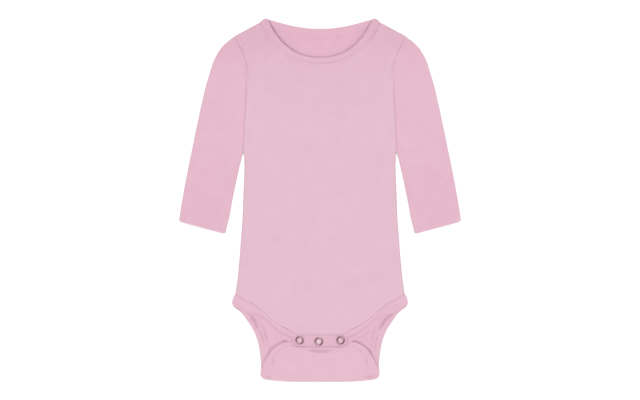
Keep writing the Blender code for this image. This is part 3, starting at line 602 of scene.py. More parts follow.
def knit(name, colour, turn=0.0, wale=WALE, course=COURSE, strength=0.5, mottle_and_shade=0.03, shade_and_highlight_spots=(), start=0.0,
         shade_tint=None):
    """Fine jersey: columns of V stitches, a little fibre fuzz, soft mottling with painted shade in the stitches'
    valleys, and painted shade or highlight from soft ovals.
    colour is the mean; turn is the grain's angle in degrees."""
    mat = bpy.data.materials.new(name)
    mat.use_nodes = True
    tree = mat.node_tree
    shader = tree.nodes["Principled BSDF"]
    shader.inputs["Roughness"].default_value = 0.92
    shader.inputs["Specular IOR Level"].default_value = 0.18
    shader.inputs["Sheen Weight"].default_value = 0.06
    shader.inputs["Sheen Roughness"].default_value = 0.55
    shader.inputs["Sheen Tint"].default_value = (1.0, 0.86, 0.92, 1.0)
    where = mapped(tree, math.radians(-turn))
    parts = node(tree, "ShaderNodeSeparateXYZ")
    tree.links.new(where, parts.inputs[0])
    across = maths(tree, "FRACT", maths(tree, "MULTIPLY", parts.outputs["X"], 1 / (wale * MM)))
    off = maths(tree, "MULTIPLY", maths(tree, "ABSOLUTE", maths(tree, "SUBTRACT", across, 0.5)), 2.0)
    dome = maths(tree, "SUBTRACT", 1.0, maths(tree, "POWER", off, 2.0))
    phase = maths(tree, "ADD", maths(tree, "MULTIPLY", parts.outputs["Y"], 1 / (course * MM)),
                  maths(tree, "MULTIPLY", off, 0.55))
    wave = maths(tree, "SINE", maths(tree, "MULTIPLY", phase, 2 * math.pi))
    stitch = maths(tree, "MULTIPLY", dome, maths(tree, "ADD", maths(tree, "MULTIPLY", wave, 0.24), 0.76))
    fuzz = node(tree, "ShaderNodeTexNoise")
    fuzz.inputs["Scale"].default_value = 2600.0
    fuzz.inputs["Detail"].default_value = 2.0
    tree.links.new(where, fuzz.inputs["Vector"])
    height = maths(tree, "ADD", stitch, maths(tree, "MULTIPLY", fuzz.outputs["Fac"], 0.35))
    bump = node(tree, "ShaderNodeBump")
    bump.inputs["Strength"].default_value = strength
    bump.inputs["Distance"].default_value = 0.00016
    tree.links.new(height, bump.inputs["Height"])
    tree.links.new(bump.outputs["Normal"], shader.inputs["Normal"])
    patch = node(tree, "ShaderNodeTexNoise")
    patch.inputs["Scale"].default_value = 75.0
    patch.inputs["Detail"].default_value = 3.0
    patch.inputs["Roughness"].default_value = 0.6
    tree.links.new(where, patch.inputs["Vector"])
    # colour from random mottling and from the stitch's height: darker in the valleys between stitches, as painted shade
    mottle_and_stitch_shade = maths(tree, "ADD", maths(tree, "MULTIPLY", maths(tree, "SUBTRACT", patch.outputs["Fac"], 0.5), 2.4),
                 maths(tree, "MULTIPLY", maths(tree, "SUBTRACT", stitch, 0.5), 1.1))
    share = maths(tree, "ADD", maths(tree, "MULTIPLY", mottle_and_stitch_shade, 0.5), 0.5, clamp=True)
    mix = node(tree, "ShaderNodeMix", data_type="RGBA")
    dark = [c * (1 - mottle_and_shade * k) for c, k in zip(colour, (1.0, 1.6, 1.3))]
    light = [min(c * (1 + mottle_and_shade * k), 1.0) for c, k in zip(colour, (1.0, 1.6, 1.3))]
    mix.inputs["A"].default_value = (*dark, 1.0)
    mix.inputs["B"].default_value = (*light, 1.0)
    tree.links.new(share, mix.inputs["Factor"])
    result = mix.outputs["Result"]
    # painted shade from the ovals: the colour is multiplied towards the shade tint; a negative amount paints a
    # highlight
    if shade_and_highlight_spots:
        deep = node(tree, "ShaderNodeMix", data_type="RGBA", blend_type="MULTIPLY")
        deep.inputs["B"].default_value = (*(shade_tint or SHADE_TINT), 1.0)
        tree.links.new(result, deep.inputs["A"])
        tree.links.new(painted_shade_share(tree, shade_and_highlight_spots, start), deep.inputs["Factor"])
        result = deep.outputs["Result"]
    tree.links.new(result, shader.inputs["Base Color"])
    mat.diffuse_color = (*colour, 1.0)
    return mat


def thread(name, colour):
    mat = bpy.data.materials.new(name)
    mat.use_nodes = True
    tree = mat.node_tree
    shader = tree.nodes["Principled BSDF"]
    shader.inputs["Roughness"].default_value = 0.7
    shader.inputs["Specular IOR Level"].default_value = 0.3
    where = mapped(tree, math.radians(35.0))
    wave = node(tree, "ShaderNodeTexWave")
    wave.inputs["Scale"].default_value = 900.0
    wave.inputs["Distortion"].default_value = 0.4
    tree.links.new(where, wave.inputs["Vector"])
    # the thread's colour is lighter on the twist's ridges and darker in its grooves, from the same pattern as the bump:
    # painted shade
    mix = node(tree, "ShaderNodeMix", data_type="RGBA")
    mix.inputs["A"].default_value = (*[c * 0.93 for c in colour], 1.0)
    mix.inputs["B"].default_value = (*[min(c * 1.05, 1.0) for c in colour], 1.0)
    tree.links.new(wave.outputs["Fac"], mix.inputs["Factor"])
    tree.links.new(mix.outputs["Result"], shader.inputs["Base Color"])
    bump = node(tree, "ShaderNodeBump")
    bump.inputs["Strength"].default_value = 0.4
    bump.inputs["Distance"].default_value = 0.00008
    tree.links.new(wave.outputs["Fac"], bump.inputs["Height"])
    tree.links.new(bump.outputs["Normal"], shader.inputs["Normal"])
    mat.diffuse_color = (*colour, 1.0)
    return mat


def metal(name, colour, rough=0.2):
    mat = bpy.data.materials.new(name)
    mat.use_nodes = True
    tree = mat.node_tree
    shader = tree.nodes["Principled BSDF"]
    shader.inputs["Metallic"].default_value = 1.0
    where = mapped(tree)
    noise = node(tree, "ShaderNodeTexNoise")
    noise.inputs["Scale"].default_value = 700.0
    noise.inputs["Detail"].default_value = 4.0
    tree.links.new(where, noise.inputs["Vector"])
    mix = node(tree, "ShaderNodeMix", data_type="RGBA")
    mix.inputs["A"].default_value = (*[c * 0.88 for c in colour], 1.0)
    mix.inputs["B"].default_value = (*[min(c * 1.08, 1.0) for c in colour], 1.0)
    tree.links.new(noise.outputs["Fac"], mix.inputs["Factor"])
    tree.links.new(mix.outputs["Result"], shader.inputs["Base Color"])
    vary = maths(tree, "ADD", maths(tree, "MULTIPLY", noise.outputs["Fac"], 0.12), rough - 0.06)
    tree.links.new(vary, shader.inputs["Roughness"])
    bump = node(tree, "ShaderNodeBump")
    bump.inputs["Strength"].default_value = 0.12
    bump.inputs["Distance"].default_value = 0.00005
    tree.links.new(noise.outputs["Fac"], bump.inputs["Height"])
    tree.links.new(bump.outputs["Normal"], shader.inputs["Normal"])
    mat.diffuse_color = (*colour, 1.0)
    return mat


PINK_FRONT = (0.597, 0.394, 0.470)
PINK_FLAP = (0.600, 0.385, 0.463)
PINK_BACK = (0.611, 0.372, 0.455)
PINK_SLEEVE = (0.602, 0.376, 0.457)
PINK_LEG = (0.602, 0.380, 0.460)
PINK_NECK = (0.588, 0.366, 0.450)
PINK_TAB = (0.690, 0.520, 0.580)
PINK_THREAD = (0.765, 0.570, 0.640)
NECK_THREAD = (0.605, 0.402, 0.478)
SHADE_TINT = (0.90, 0.78, 0.83)    # what the deepest painted shade does to a colour
# the rings' metal is dark and pinkish: painted reflection of the pink cloth and of dark surroundings, darker than plain
# nickel
STEEL_PAINTED_REFLECTION = (0.32, 0.195, 0.235)

# painted shade: darker towards the neck and at both shoulders
knit_front = knit("knit_front", PINK_FRONT, shade_and_highlight_spots=(
    (0.0, 230.0, 200.0, 150.0, 0.38), (-92.0, 192.0, 60.0, 50.0, 0.36), (92.0, 192.0, 60.0, 50.0, 0.30)))
knit_flap = knit("knit_flap", PINK_FLAP)
# painted shade inside the back of the neck, under the front's neckband
knit_back = knit("knit_back", PINK_BACK, shade_and_highlight_spots=((0.0, 204.0, 110.0, 70.0, 0.22),))
# painted shade at the shoulder caps; the lower sleeves are made a little darker too
knit_sleeve = {
    s: knit("knit_sleeve_" + t, PINK_SLEEVE, turn=s * 12.5, shade_and_highlight_spots=(
        (s * 106.0, 198.0, 56.0, 56.0, 0.34), (s * 138.0, -4.0, 70.0, 80.0, 0.16)))
    for s, t in ((-1, "left"), (1, "right"))
}
# painted shade at the neckband's corners
knit_neck = knit("knit_neckband", PINK_NECK, turn=90.0, strength=0.6, shade_and_highlight_spots=(
    (-66.0, 210.0, 46.0, 50.0, 0.30), (66.0, 210.0, 46.0, 50.0, 0.30)))
# painted shade along the hollows of the leg openings
knit_leg = {
    -1: knit("knit_binding_left", PINK_LEG, turn=-40.0, strength=0.6, shade_and_highlight_spots=(
        (-80.4, -139.4, 3.4, 3.4, 0.62), (-77.2, -143.6, 3.0, 3.8, 0.62), (-75.2, -148.8, 2.6, 4.4, 0.52))),
    1: knit("knit_binding_right", PINK_LEG, turn=40.0, strength=0.6, shade_and_highlight_spots=(
        (81.6, -137.4, 3.6, 3.2, 0.55), (77.6, -141.2, 3.2, 3.4, 0.62), (74.4, -146.0, 2.8, 3.8, 0.62),
        (71.8, -151.2, 2.6, 4.2, 0.60))),
}
# the tab's own tone is PINK_TAB deepened all over by the start share; the paler ovals inside the snap rings are painted
# highlight
knit_tab = knit("knit_tab", PINK_TAB, turn=90.0, strength=0.55, start=0.685, shade_tint=(0.78, 0.55, 0.64), shade_and_highlight_spots=tuple(
    (x, y, 4.4, 4.4, -0.68 if tag == "2" else -0.22) for tag, x, y in SNAPS))
pink_thread = thread("pink_thread", PINK_THREAD)
neck_thread = thread("neck_thread", NECK_THREAD)
ring_metal = metal("snap_ring_metal_painted_reflection", STEEL_PAINTED_REFLECTION, 0.16)
inner_metal = metal("snap_inner_metal", (0.55, 0.52, 0.53), 0.3)


# ---- front panel -----------------------------------------------------------------
U_TAB = float(neck_seam_front(1 - 2 / 7)[0]) / SHOULDER_TIP[0]


# the free edge from the hip along the leg and round the tab's lower corner, with
# how far it droops and how far in from the edge the droop reaches, by its share
FREE_LINE = np.concatenate([
    leg_edge_front(np.linspace(0, 1, 60)),
    [(33.1, -165.8), (33.2, -167.4), (32.8, -169.2), (31.8, -170.4), (30.4, -171.5),
     (28.4, -172.3), (23.0, -173.2), (12.0, -173.65), (0.0, -173.8)],
])
DROOP_REACH = monotone(((0.0, 9.0), (0.5, 8.5), (0.66, 6.5), (0.8, 5.0), (1.0, 4.0)))
LIFT = monotone((
    (0.0, 0.0), (0.10, 0.35), (0.25, 1.0), (0.45, 1.4), (0.65, 1.7), (0.88, 2.1), (1.0, 2.1),
))
LEG_FREE = leg_edge_front(np.linspace(0, 1, 60))
LEG_OUT = path(LEG_EDGE_BACK)(np.linspace(0, 1, 50))
NECK_FREE = neck_edge_front(np.linspace(0, 1, 60))
FLAP_TOP = monotone([(x, y) for x, y in FLAP_EDGE])


def end_rise(x, y):
    """How far the flap and the lower layer stand up to meet the tab's ends."""
    return 2.0 * np.exp(-(((np.abs(x) - 35.5) / 4.4) ** 2) - ((y + 168.0) / 5.5) ** 2)


def inside_lift(x, y):
    """How far the lower layer rises to meet the front's free edges at the legs and
    the neck; it stays low under the flap and at its own edges."""
    a = np.abs(x)
    out = np.zeros(np.shape(a))
    near = (y < -112.0) & (y > -190.0) & (a > 18.0)
    if near.any():
        an, yn = a[near], y[near]
        d, share = distance(an, yn, LEG_FREE)
        rim, _ = distance(an, yn, LEG_OUT)
        flap_top = np.where(an < 31.0, -161.0, FLAP_TOP(an))
        closed = 2.8 * (1 - ease((an - 36.5) / 4.5)) * (an > 31.0)
        free = 1 - 0.90 * ease((flap_top - yn + 3.1 - closed) / 4.4) * (an < 72.0)
        out[near] = LIFT(share) * np.exp(-((d / 8.5) ** 2)) * ease(rim / 7.0) * free
        out[near] += folded(an, yn, RAISED) * free + end_rise(an, yn)
    near = (y > 140.0) & (a < 66.0)
    if near.any():
        d, _ = distance(a[near], y[near], NECK_FREE)
        out[near] += 1.25 * np.exp(-((d / 7.0) ** 2)) * (1 - 0.8 * ease((a[near] - 14.0) / 28.0)) * (1 - ease((a[near] - 50.0) / 8.0))
    return out


def flap_swell(x, y):
    """The flap's soft rise below the tab."""
    across = np.abs(x)
    z = 1.35 * np.exp(-(((y + 175.6) / 3.4) ** 2)) * (1 - ease((across - 20.0) / 14.0))
    z = z + 0.5 * np.exp(-(((y + 187.0) / 9.0) ** 2)) * (1 - ease((across - 22.0) / 24.0))
    return z * ease((-170.6 - y) / 2.6)


def beneath(x, y):
    """The upper face of what the front's free edge lies on."""
    bound = ease((x - leg_seam_half(y)) / 2.5)
    plain = WALL + (BAND - WALL) * bound + inside_lift(x, y)
    over_flap = (x < 31.0) | ((x < 40.0) & (y < FLAP_TOP(x)))
    return np.where(over_flap, 2 * EDGE_R + flap_swell(x, y) + end_rise(x, y), plain)


DROOP_AT = np.linspace(0, 1, 90)
DROOP_TO = path(FREE_LINE)(DROOP_AT)
TAB_CORNER = np.exp(-(((DROOP_TO[:, 0] - 25.5) / 3.6) ** 2)) * (DROOP_TO[:, 1] < -168.0)
DROOP_BY = np.maximum(
    front_underside(DROOP_TO[:, 0], DROOP_TO[:, 1], BAND_BASE) - beneath(DROOP_TO[:, 0], DROOP_TO[:, 1])
    - 0.05 - 0.55 * TAB_CORNER, 0.0)
DROOP_BY = np.convolve(np.pad(DROOP_BY, 3, "edge"), np.array([1, 2, 3, 4, 3, 2, 1]) / 16.0, "valid")
DROOP_BY = DROOP_BY * ease((DROOP_AT - 0.01) / 0.06)


def at_tab_end(x, y):
    """1 at the tab's ends, 0 elsewhere: there its surface falls more gently."""
    return np.exp(-(((np.abs(x) - 33.0) / 3.6) ** 2)) * ease((y + 172.4) / 2.4) * ease((-160.5 - y) / 2.5)


def droop(x, y):
    """How far the front's free lower edge sinks to the layers beneath."""
    d, share = distance(np.abs(x), y, FREE_LINE)
    end = at_tab_end(x, y)
    fall = np.clip(1 - d / (DROOP_REACH(share) + 1.2 * end), 0, 1) ** (1.6 - 0.45 * end)
    return np.interp(share, DROOP_AT, DROOP_BY) * fall


FADED = 0.30           # how much more where the edge can hardly be seen


def thinned(x, y):
    """How much thinner the cloth gets where it ends in the free edge."""
    d, share = distance(np.abs(x), y, FREE_LINE)
    reach = 5.6 - 2.4 * ease((share - 0.55) / 0.2)
    corner = np.exp(-(((np.abs(x) - 25.5) / 3.6) ** 2)) * (y < -168.0)
    amount = 0.92 + 0.16 * (y < -168.0) - 0.72 * corner + FADED * ease((np.abs(x) - 62.0) / 6.0)
    end = at_tab_end(x, y)
    amount = amount + 0.26 * end
    return amount * np.clip(1 - d / (reach + 2.0 * end), 0, 1) ** (2 - 0.6 * end) * ease((share - 0.01) / 0.06)


def seam_dip(x, y):
    """How far a band's upper face comes down to the panel's at their seam."""
    return 0.85 - 0.45 * to_tab(x, y)


def across_top(neck_line):
    """Height of a panel's upper edge at a distance from the middle."""
    line = np.concatenate([neck_line[::-1], SHOULDER[1:]])
    return lambda x: np.interp(np.abs(x), line[:, 0], line[:, 1])


front_top = across_top(neck_seam_front(np.linspace(0, 1, 500)))
back_top = across_top(neck_seam_back(np.linspace(0, 1, 500)))


def front_low(u):
    a = np.abs(u)
    seam = leg_seam_front(np.clip((1 - a) / (1 - U_TAB), 0, 1))
    x = np.where(a >= U_TAB, seam[..., 0], TAB_HALF * a / U_TAB)
    y = np.where(a >= U_TAB, seam[..., 1], TAB_TOP_Y)
    return np.sign(u) * x, y


def front_plan(u, y):
    half = body_half(y)
    g_top = ease((y - 84.0) / (192.9 - 84.0))
    g_low = ease((-40.0 - y) / (-40.0 - HIP_POINT[1]))
    low_x, low_y = front_low(u)
    px = u * half + g_low * (low_x - u * HIP_POINT[0])
    py = y + g_top * (front_top(u * SHOULDER_TIP[0]) - 192.9) + g_low * (low_y - HIP_POINT[1])
    return px, py


seam_strength = monotone((      # how deep the front leg seam lies from the hip to the tab
    (0.0, 0.50), (0.25, 0.55), (0.40, 0.48), (0.55, 0.52), (0.64, 0.78), (0.82, 0.90), (1.0, 0.70),
))
ARM_DEPTH = monotone((
    (56.6, 0.25), (66.0, 0.15), (82.0, 0.32), (94.0, 0.50), (106.0, 0.56), (116.0, 0.68),
    (127.0, 0.80), (136.0, 0.66), (144.0, 0.36), (151.0, 0.32), (158.0, 0.45), (168.0, 0.50),
    (174.0, 0.66), (180.0, 0.78), (184.0, 0.82), (188.6, 0.68), (192.9, 0.45),
))
NECK_DEPTH = monotone((
    (0.0, 0.50), (12.0, 0.44), (24.0, 0.20), (31.0, 0.26), (38.0, 0.22), (48.0, 0.05),
    (58.0, 0.03), (65.5, 0.06), (71.0, 0.03),
))


def arm_depth(x, y):
    """How deep an armhole seam lies; the right one fades below the shoulder."""
    return ARM_DEPTH(y) * (1 - 0.8 * np.exp(-(((y - 163.0) / 7.5) ** 2)) * (np.asarray(x) > 0))


def puckered(run, pitch, share):
    """A seam's uneven depth along its run, drawn in from stitch to stitch."""
    return 1 + share * (0.7 * np.sin(2 * math.pi * run / pitch) + 0.5 * np.sin(run / 3.7 + 1.0))


def front_height(x, y):
    """The front panel's upper face."""
    a = np.abs(x)
    z = front_underside(x, y) + CLOTH
    z = z + folded(x, y, FRONT_FOLDS) + 0.10 * drift(x, y, 26.0, 0.7)
    d, _ = distance(a, y, ARM_LINE)
    z = z + (groove(d, 1.0, 0.85) + 0.2 * np.exp(-(((d - 3.0) / 1.6) ** 2))) * arm_depth(x, y)
    d, _ = distance(a, y, NECK_LINE)
    z = z + groove(d, 1.0, 0.8) * NECK_DEPTH(a) + 0.10 * np.exp(-(((d - 1.7) / 0.8) ** 2)) - 0.17 * np.exp(-(((d - 2.9) / 0.55) ** 2))
    d, share = distance(a, y, LEG_LINE)
    strong = seam_strength(share) * puckered(share * LEG_RUN, 5.2, 0.45)
    z = z + (groove(d, 0.95, 0.75) + 0.22 * np.exp(-(((d - 2.0) / 1.0) ** 2))) * strong
    d, _ = distance(a, y, TAB_LINE)
    z = z + groove(d, 0.4, 0.9) + 0.12 * np.exp(-(((d - 2.2) / 1.2) ** 2))
    for point in (NECK_POINT, HIP_POINT):      # up to the thicker bands at the corners
        z = z + 0.8 * np.exp(-((np.hypot(a - point[0], y - point[1]) / 7.0) ** 2))
    edge = rolled(distance(a, y, SIDE_LINE)[0]) * rolled(distance(a, y, SHOULDER)[0])
    return MEET_Z + 0.05 + (z - MEET_Z - 0.05) * edge


def front_panel():
    u = spaced(-92.0, 92.0, 1.45) / 92.0
    rows = spaced(HIP_POINT[1], 192.9, 1.45)[::-1]
    uu, yy = np.meshgrid(u, rows)
    x, y = front_plan(uu, yy)
    outer = np.dstack([x, y, front_height(x, y)])
    n = normals_of(outer)
    n = np.where(n[..., 2:3] < 0, -n, n)
    inner = outer - n * WALL
    return shell("front_cloth", outer, inner, knit_front)


# ---- back panel --------------------------------------------------------------------
HOLLOWS = [path([(abs(a), b) for a, b in points])(np.linspace(0, 1, 24))
           for name, points, _, _ in LOWER_FOLDS if name.endswith("_hollow")]


def outer_rise(x, y, lift):
    """The lower layer's rise on the side that lies on the surface: softer than on
    the other side, and nearly none along the hollows of the leg openings."""
    d = np.minimum(*[distance(np.abs(x), y, line)[0] for line in HOLLOWS])
    return 0.9 * (1 - np.exp(-lift / 0.9)) * (1 - 0.92 * np.exp(-((d / 4.0) ** 2)))


def back_lift(x, y, seams=1.0):
    """How far the lower layer stands off the surface: its curled side edges and
    the hollows of its underside, with or without those along its seams."""
    a = np.abs(x)
    edge = rolled(distance(a, y, SIDE_LINE)[0], 1.3) * rolled(distance(a, y, SHOULDER)[0], 1.3)
    d, _ = distance(a, y, ARM_LINE)
    lift = folded(x, y, UNDER_FOLDS) + 0.35 * seams * np.exp(-((d / 0.9) ** 2))
    d, _ = distance(a, y, NECK_LINE_BACK)
    lift = lift + 0.30 * seams * np.exp(-((d / 0.8) ** 2))
    d, _ = distance(a, y, LEG_LINE_BACK)
    lift = lift + 0.30 * seams * np.exp(-((d / 0.8) ** 2)) * (y < -112.0)
    lift = np.maximum(lift + 0.05 * (1 + drift(x, y, 17.0, 2.1)) * ease((a - 10) / 40), 0.0)
    lift = np.maximum(lift, 0.25 * lift + inside_lift(x, y))
    if seams:
        lift = outer_rise(x, y, lift)
    return lift * edge + (MEET_Z - 0.05) * (1 - edge)


def back_relief(x, y):
    """Change in the height of the face that shows inside the openings."""
    d, _ = distance(np.abs(x), y, LEG_LINE_BACK)
    line = groove(d, 0.18, 0.8)
    d, _ = distance(np.abs(x), y, NECK_LINE_BACK)
    return folded(x, y, LOWER_FOLDS) + line + groove(d, 0.03, 0.8)


def flap_relief(x, y):
    """Height added to the folded-up flap's upper face."""
    z = folded(x, y, FLAP_FOLDS) + 0.10 * drift(x, y, 15.0, 4.0)
    under = ease((-170.6 - y) / 2.6)
    under = under * ease((y - fold_centre(x)) / 1.6)
    d, _ = distance(np.abs(x), y, np.array(FLAP_SEAM))
    return z * under + flap_swell(x, y) + end_rise(x, y) + groove(d, 0.08, 0.8) * ease((-170.0 - y) / 3.0)


def back_panel():
    u = spaced(-92.0, 92.0, 1.5) / 92.0
    outer, inner = [], []

    def lower(x, y):
        lift = back_lift(x, y)
        up = WALL + back_lift(x, y, 0.0) + back_relief(x, y)
        up = np.maximum(up, 0.45)
        outer.append(np.stack([x, y, np.minimum(lift, up - 0.25)], -1))
        inner.append(np.stack([x, y, up], -1))

    ends = spaced(HIP_POINT[1], 192.9, 1.4)
    rows = np.concatenate([ends[ends < -106.0], np.linspace(-105.0, 150.0, 92), np.linspace(151.2, 186.0, 30),
                           ends[ends > 187.0]])[::-1]
    for y in rows:
        g = ease((y - 120.0) / (192.9 - 120.0))
        x = u * float(body_half(y))
        lower(x, y + g * (back_top(u * SHOULDER_TIP[0]) - 192.9))
    for y in np.linspace(HIP_POINT[1], -196.0, 96)[1:]:
        x = u * float(leg_seam_half(y))
        lower(x, np.full(len(u), y))
    for t in np.linspace(0, 1, 9)[1:-1]:
        x = u * (float(leg_seam_half(-196.0)) * (1 - t) + FOLD_HALF * t)
        lower(x, -196.0 * (1 - t) + fold_centre(x) * t)
    x = u * FOLD_HALF
    for a in np.radians(np.linspace(0, 180, 15)):
        for depth, store in ((0.0, outer), (WALL, inner)):
            r = EDGE_R - depth
            store.append(np.stack([x, fold_centre(x) - r * math.sin(a), np.full(len(u), EDGE_R - r * math.cos(a))], -1))

    def upper(x, y):
        z = 2 * EDGE_R + flap_relief(x, y)
        outer.append(np.stack([x, y, z], -1))
        inner.append(np.stack([x, y, z - WALL], -1))

    for t in np.linspace(0, 1, 9)[1:]:
        x = u * (FOLD_HALF * (1 - t) + float(flap_seam_half(-196.0)) * t)
        upper(x, fold_centre(x) * (1 - t) - 196.0 * t)
    for y in np.concatenate([np.linspace(-196.0, -182.2, 13)[1:], np.arange(-181.8, -175.0, 0.3), np.linspace(-174.8, -172.6, 4)]):
        upper(u * float(flap_seam_half(y)), np.full(len(u), y))
    for y, half in ((-172.3, 33.85), (-172.05, 33.5), (-171.8, 33.1), (-171.65, 32.4), (-171.5, 31.55)):
        upper(u * half, np.full(len(u), y))      # along the bindings' ends
    for y in np.linspace(-171.1, FLAP_END_Y, 10):
        upper(u * (TAPE_HALF - 1.7), np.full(len(u), y))
    obj = shell("back_cloth", np.array(outer), np.array(inner), knit_back)
    obj.data.materials.append(knit_flap)      # the knit's right side
    sides = (len(outer) - 1) * (len(u) - 1)
    which = np.zeros(len(obj.data.polygons), np.int32)
    which[:sides] = 1
    obj.data.polygons.foreach_set("material_index", which)
    return obj


# ---- sleeves -------------------------------------------------------------------------
outer_edge, inner_edge = path(SLEEVE_OUTER), path(SLEEVE_INNER)
CUFF_IN, CUFF_OUT = np.array(SLEEVE_INNER[-1]), np.array(SLEEVE_OUTER[-1])
ARM = stand_off(ARM_LINE, (150.0, 100.0), ARM_GAP)
ARM_RUN = np.concatenate([[0.0], np.cumsum(np.hypot(*np.diff(ARM, axis=0).T))])
ARM_SHARE = ARM_RUN / ARM_RUN[-1]
ARM_RISE = loft(ARM[:, 0], ARM[:, 1]) + FRONT_BASE + CLOTH - 2 * SLEEVE_R


def sleeve_plan(u, v):
    a = np.stack([np.interp(u, ARM_SHARE, ARM[:, 0]), np.interp(u, ARM_SHARE, ARM[:, 1])], -1)
    b = CUFF_IN * (1 - u)[:, None] + CUFF_OUT * u[:, None]
    i, o = inner_edge(v), outer_edge(v)
    c00, c10 = ARM[0], ARM[-1]
    return (
        (1 - v) * a + v * b + (1 - u)[:, None] * i + u[:, None] * o
        - ((1 - u)[:, None] * ((1 - v) * c00 + v * CUFF_IN) + u[:, None] * ((1 - v) * c10 + v * CUFF_OUT))
    )


def sleeve(name, sign):
    length = 0.5 * (outer_edge.length + inner_edge.length)
    stations = spaced(0.0, length, 1.6) / length
    axis = (CUFF_IN + CUFF_OUT) / 2 - (ARM[0] + ARM[-1]) / 2
    axis /= np.hypot(*axis)
    turn = np.radians(np.linspace(90, 0, 7)[1:-1])
    n = 42
    outer, inner = [], []
    for v in stations:
        wide = float(np.hypot(*(outer_edge(v) - inner_edge(v))))
        to_cuff = (1 - v) * length
        hem = 1 - ease((to_cuff - HEM) / 1.2)
        flat = np.linspace(SLEEVE_R, wide - SLEEVE_R, n)
        arc = SLEEVE_R * (1 - np.cos(turn))     # from the flat to the edge
        top_off = np.concatenate([[0.0], arc[::-1], flat, wide - arc, [wide]])
        top_lift = np.concatenate([[0.0], np.sin(turn[::-1]), np.ones(n), np.sin(turn), [0.0]])
        off = np.clip(top_off / wide, 0, 1)
        p = sleeve_plan(off, v)
        near_end = np.minimum(top_off, wide - top_off)
        tuck = np.exp(-((to_cuff / 6.0) ** 2)) * 1.3 * np.clip(1 - near_end / 4.0, 0, 1) ** 2
        p = p - axis * tuck[:, None]
        x, y = p[:, 0] * sign, p[:, 1]
        swell = SLEEVE_LOFT * rise(off * wide / 24.0) * rise((1 - off) * wide / 24.0)
        joined = np.maximum(np.interp(off, ARM_SHARE, ARM_RISE), 0.0)
        swell = swell + (joined - swell) * (1 - ease(v / ARMHOLE_REACH))
        swell = swell * (1 - 0.8 * ease((44.0 - to_cuff) / 40.0))
        d, _ = distance(p[:, 0], y, ARM_LINE)
        seam = (groove(d, 1.0, 0.85) + 0.2 * np.exp(-(((d - 2.6) / 1.4) ** 2))) * arm_depth(x, y)
        relief = folded(x, y, SLEEVE_FOLDS[sign]) + 0.12 * drift(x, y, 13.0, 3.0 + sign) + seam
        relief = relief + 0.05 * hem - 0.07 * np.exp(-(((to_cuff - HEM) / 0.55) ** 2))
        relief = relief - 0.35 * np.exp(-((to_cuff / 0.5) ** 2))
        z_top = SLEEVE_R + top_lift * (SLEEVE_R + np.maximum(swell + relief, -0.6))
        low = -0.30 * np.exp(-((d / 0.9) ** 2)) - 0.18 * np.exp(-(((to_cuff - HEM) / 0.55) ** 2))
        low = low - np.maximum(folded(x, y, SLEEVE_FOLDS[sign]), 0.0) - 0.5 * np.maximum(-folded(x, y, SLEEVE_FOLDS[sign]), 0.0)
        z_low = SLEEVE_R - top_lift * (SLEEVE_R + low)
        upper = np.column_stack([x, y, z_top])
        lower = np.column_stack([x, y, z_low])[1:-1][::-1]
        outer.append(np.concatenate([upper, lower]))
        wall = WALL + 0.25 * hem
        scale = np.clip(near_end / (SLEEVE_R + 0.5), 0, 1)
        pull = (1 - scale) * wall
        mid = sleeve_plan(np.clip(np.where(top_off < wide / 2, top_off + pull, top_off - pull) / wide, 0, 1), v) - axis * tuck[:, None]
        z_in_top = SLEEVE_R + top_lift * np.maximum(z_top - SLEEVE_R - wall, 0.12) / np.maximum(top_lift, 0.2)
        z_in_low = SLEEVE_R - top_lift * np.maximum(SLEEVE_R - z_low - wall, 0.12) / np.maximum(top_lift, 0.2)
        z_in_top = np.where(top_lift <= 0, SLEEVE_R, np.minimum(z_in_top, z_top - 0.05))
        z_in_low = np.where(top_lift <= 0, SLEEVE_R, np.maximum(z_in_low, z_low + 0.05))
        upper = np.column_stack([mid[:, 0] * sign, mid[:, 1], z_in_top])
        lower = np.column_stack([mid[:, 0] * sign, mid[:, 1], z_in_low])[1:-1][::-1]
        inner.append(np.concatenate([upper, lower]))
    return shell(name, np.array(outer), np.array(inner), knit_sleeve[sign], closed=True)


# ---- bands ---------------------------------------------------------------------------
# offsets across a band from its seam, as millimetres plus a share of the width
NEAR = (0.0, 0.2, 0.45, 0.8, 1.25, 1.8)
OFFSETS = tuple((a, 0.0) for a in NEAR) + tuple(
    (1.8 - 3.6 * k / 13, k / 13) for k in range(1, 13)
) + tuple((-a, 1.0) for a in NEAR[::-1])


def offsets(width):
    return np.array([a + b * width for a, b in OFFSETS])


def band_top(off, width, crown, edge=0.7, lip=2.6, seam_depth=0.62, dip=0.0):
    """Depth of a band's upper face below its flat top: a round free edge, a crown
    and the dip into its seam."""
    back = width - off
    t = np.clip(back / edge, 0, 1)
    depth = edge * (1 - np.sqrt(np.maximum(1 - (1 - t) ** 2, 0)))
    depth = depth + 0.55 * crown * np.clip(1 - back / lip, 0, 1) ** 2
    return depth + seam_depth * np.exp(-((off / 0.8) ** 2)) + dip * np.exp(-((off / 2.2) ** 2))


def band_under(width, edge=0.7, rise=0.9):
    """The offsets across a band and the depths of its other face."""
    off = offsets(width)
    back = width - off
    t = np.clip(back / edge, 0, 1)
    low = BAND - edge * (1 - np.sqrt(np.maximum(1 - (1 - t) ** 2, 0))) * rise
    return off, low


def along(shares, seam, edge, start=None, reach=0.1):
    """Plan points across a strip at each share of its length; the first end is
    eased to the points at which the band leaves its fold."""
    s, e = seam(shares), edge(shares)

    def plan(k, w):
        p = s[k] * (1 - w)[:, None] + e[k] * w[:, None]
        if start is not None:
            first = seam(np.array([0.0]))[0] * (1 - w)[:, None] + edge(np.array([0.0]))[0] * w[:, None]
            p = p + (start(w) - first) * (1 - ease(shares[k] / reach))
        return p

    return s, e, plan


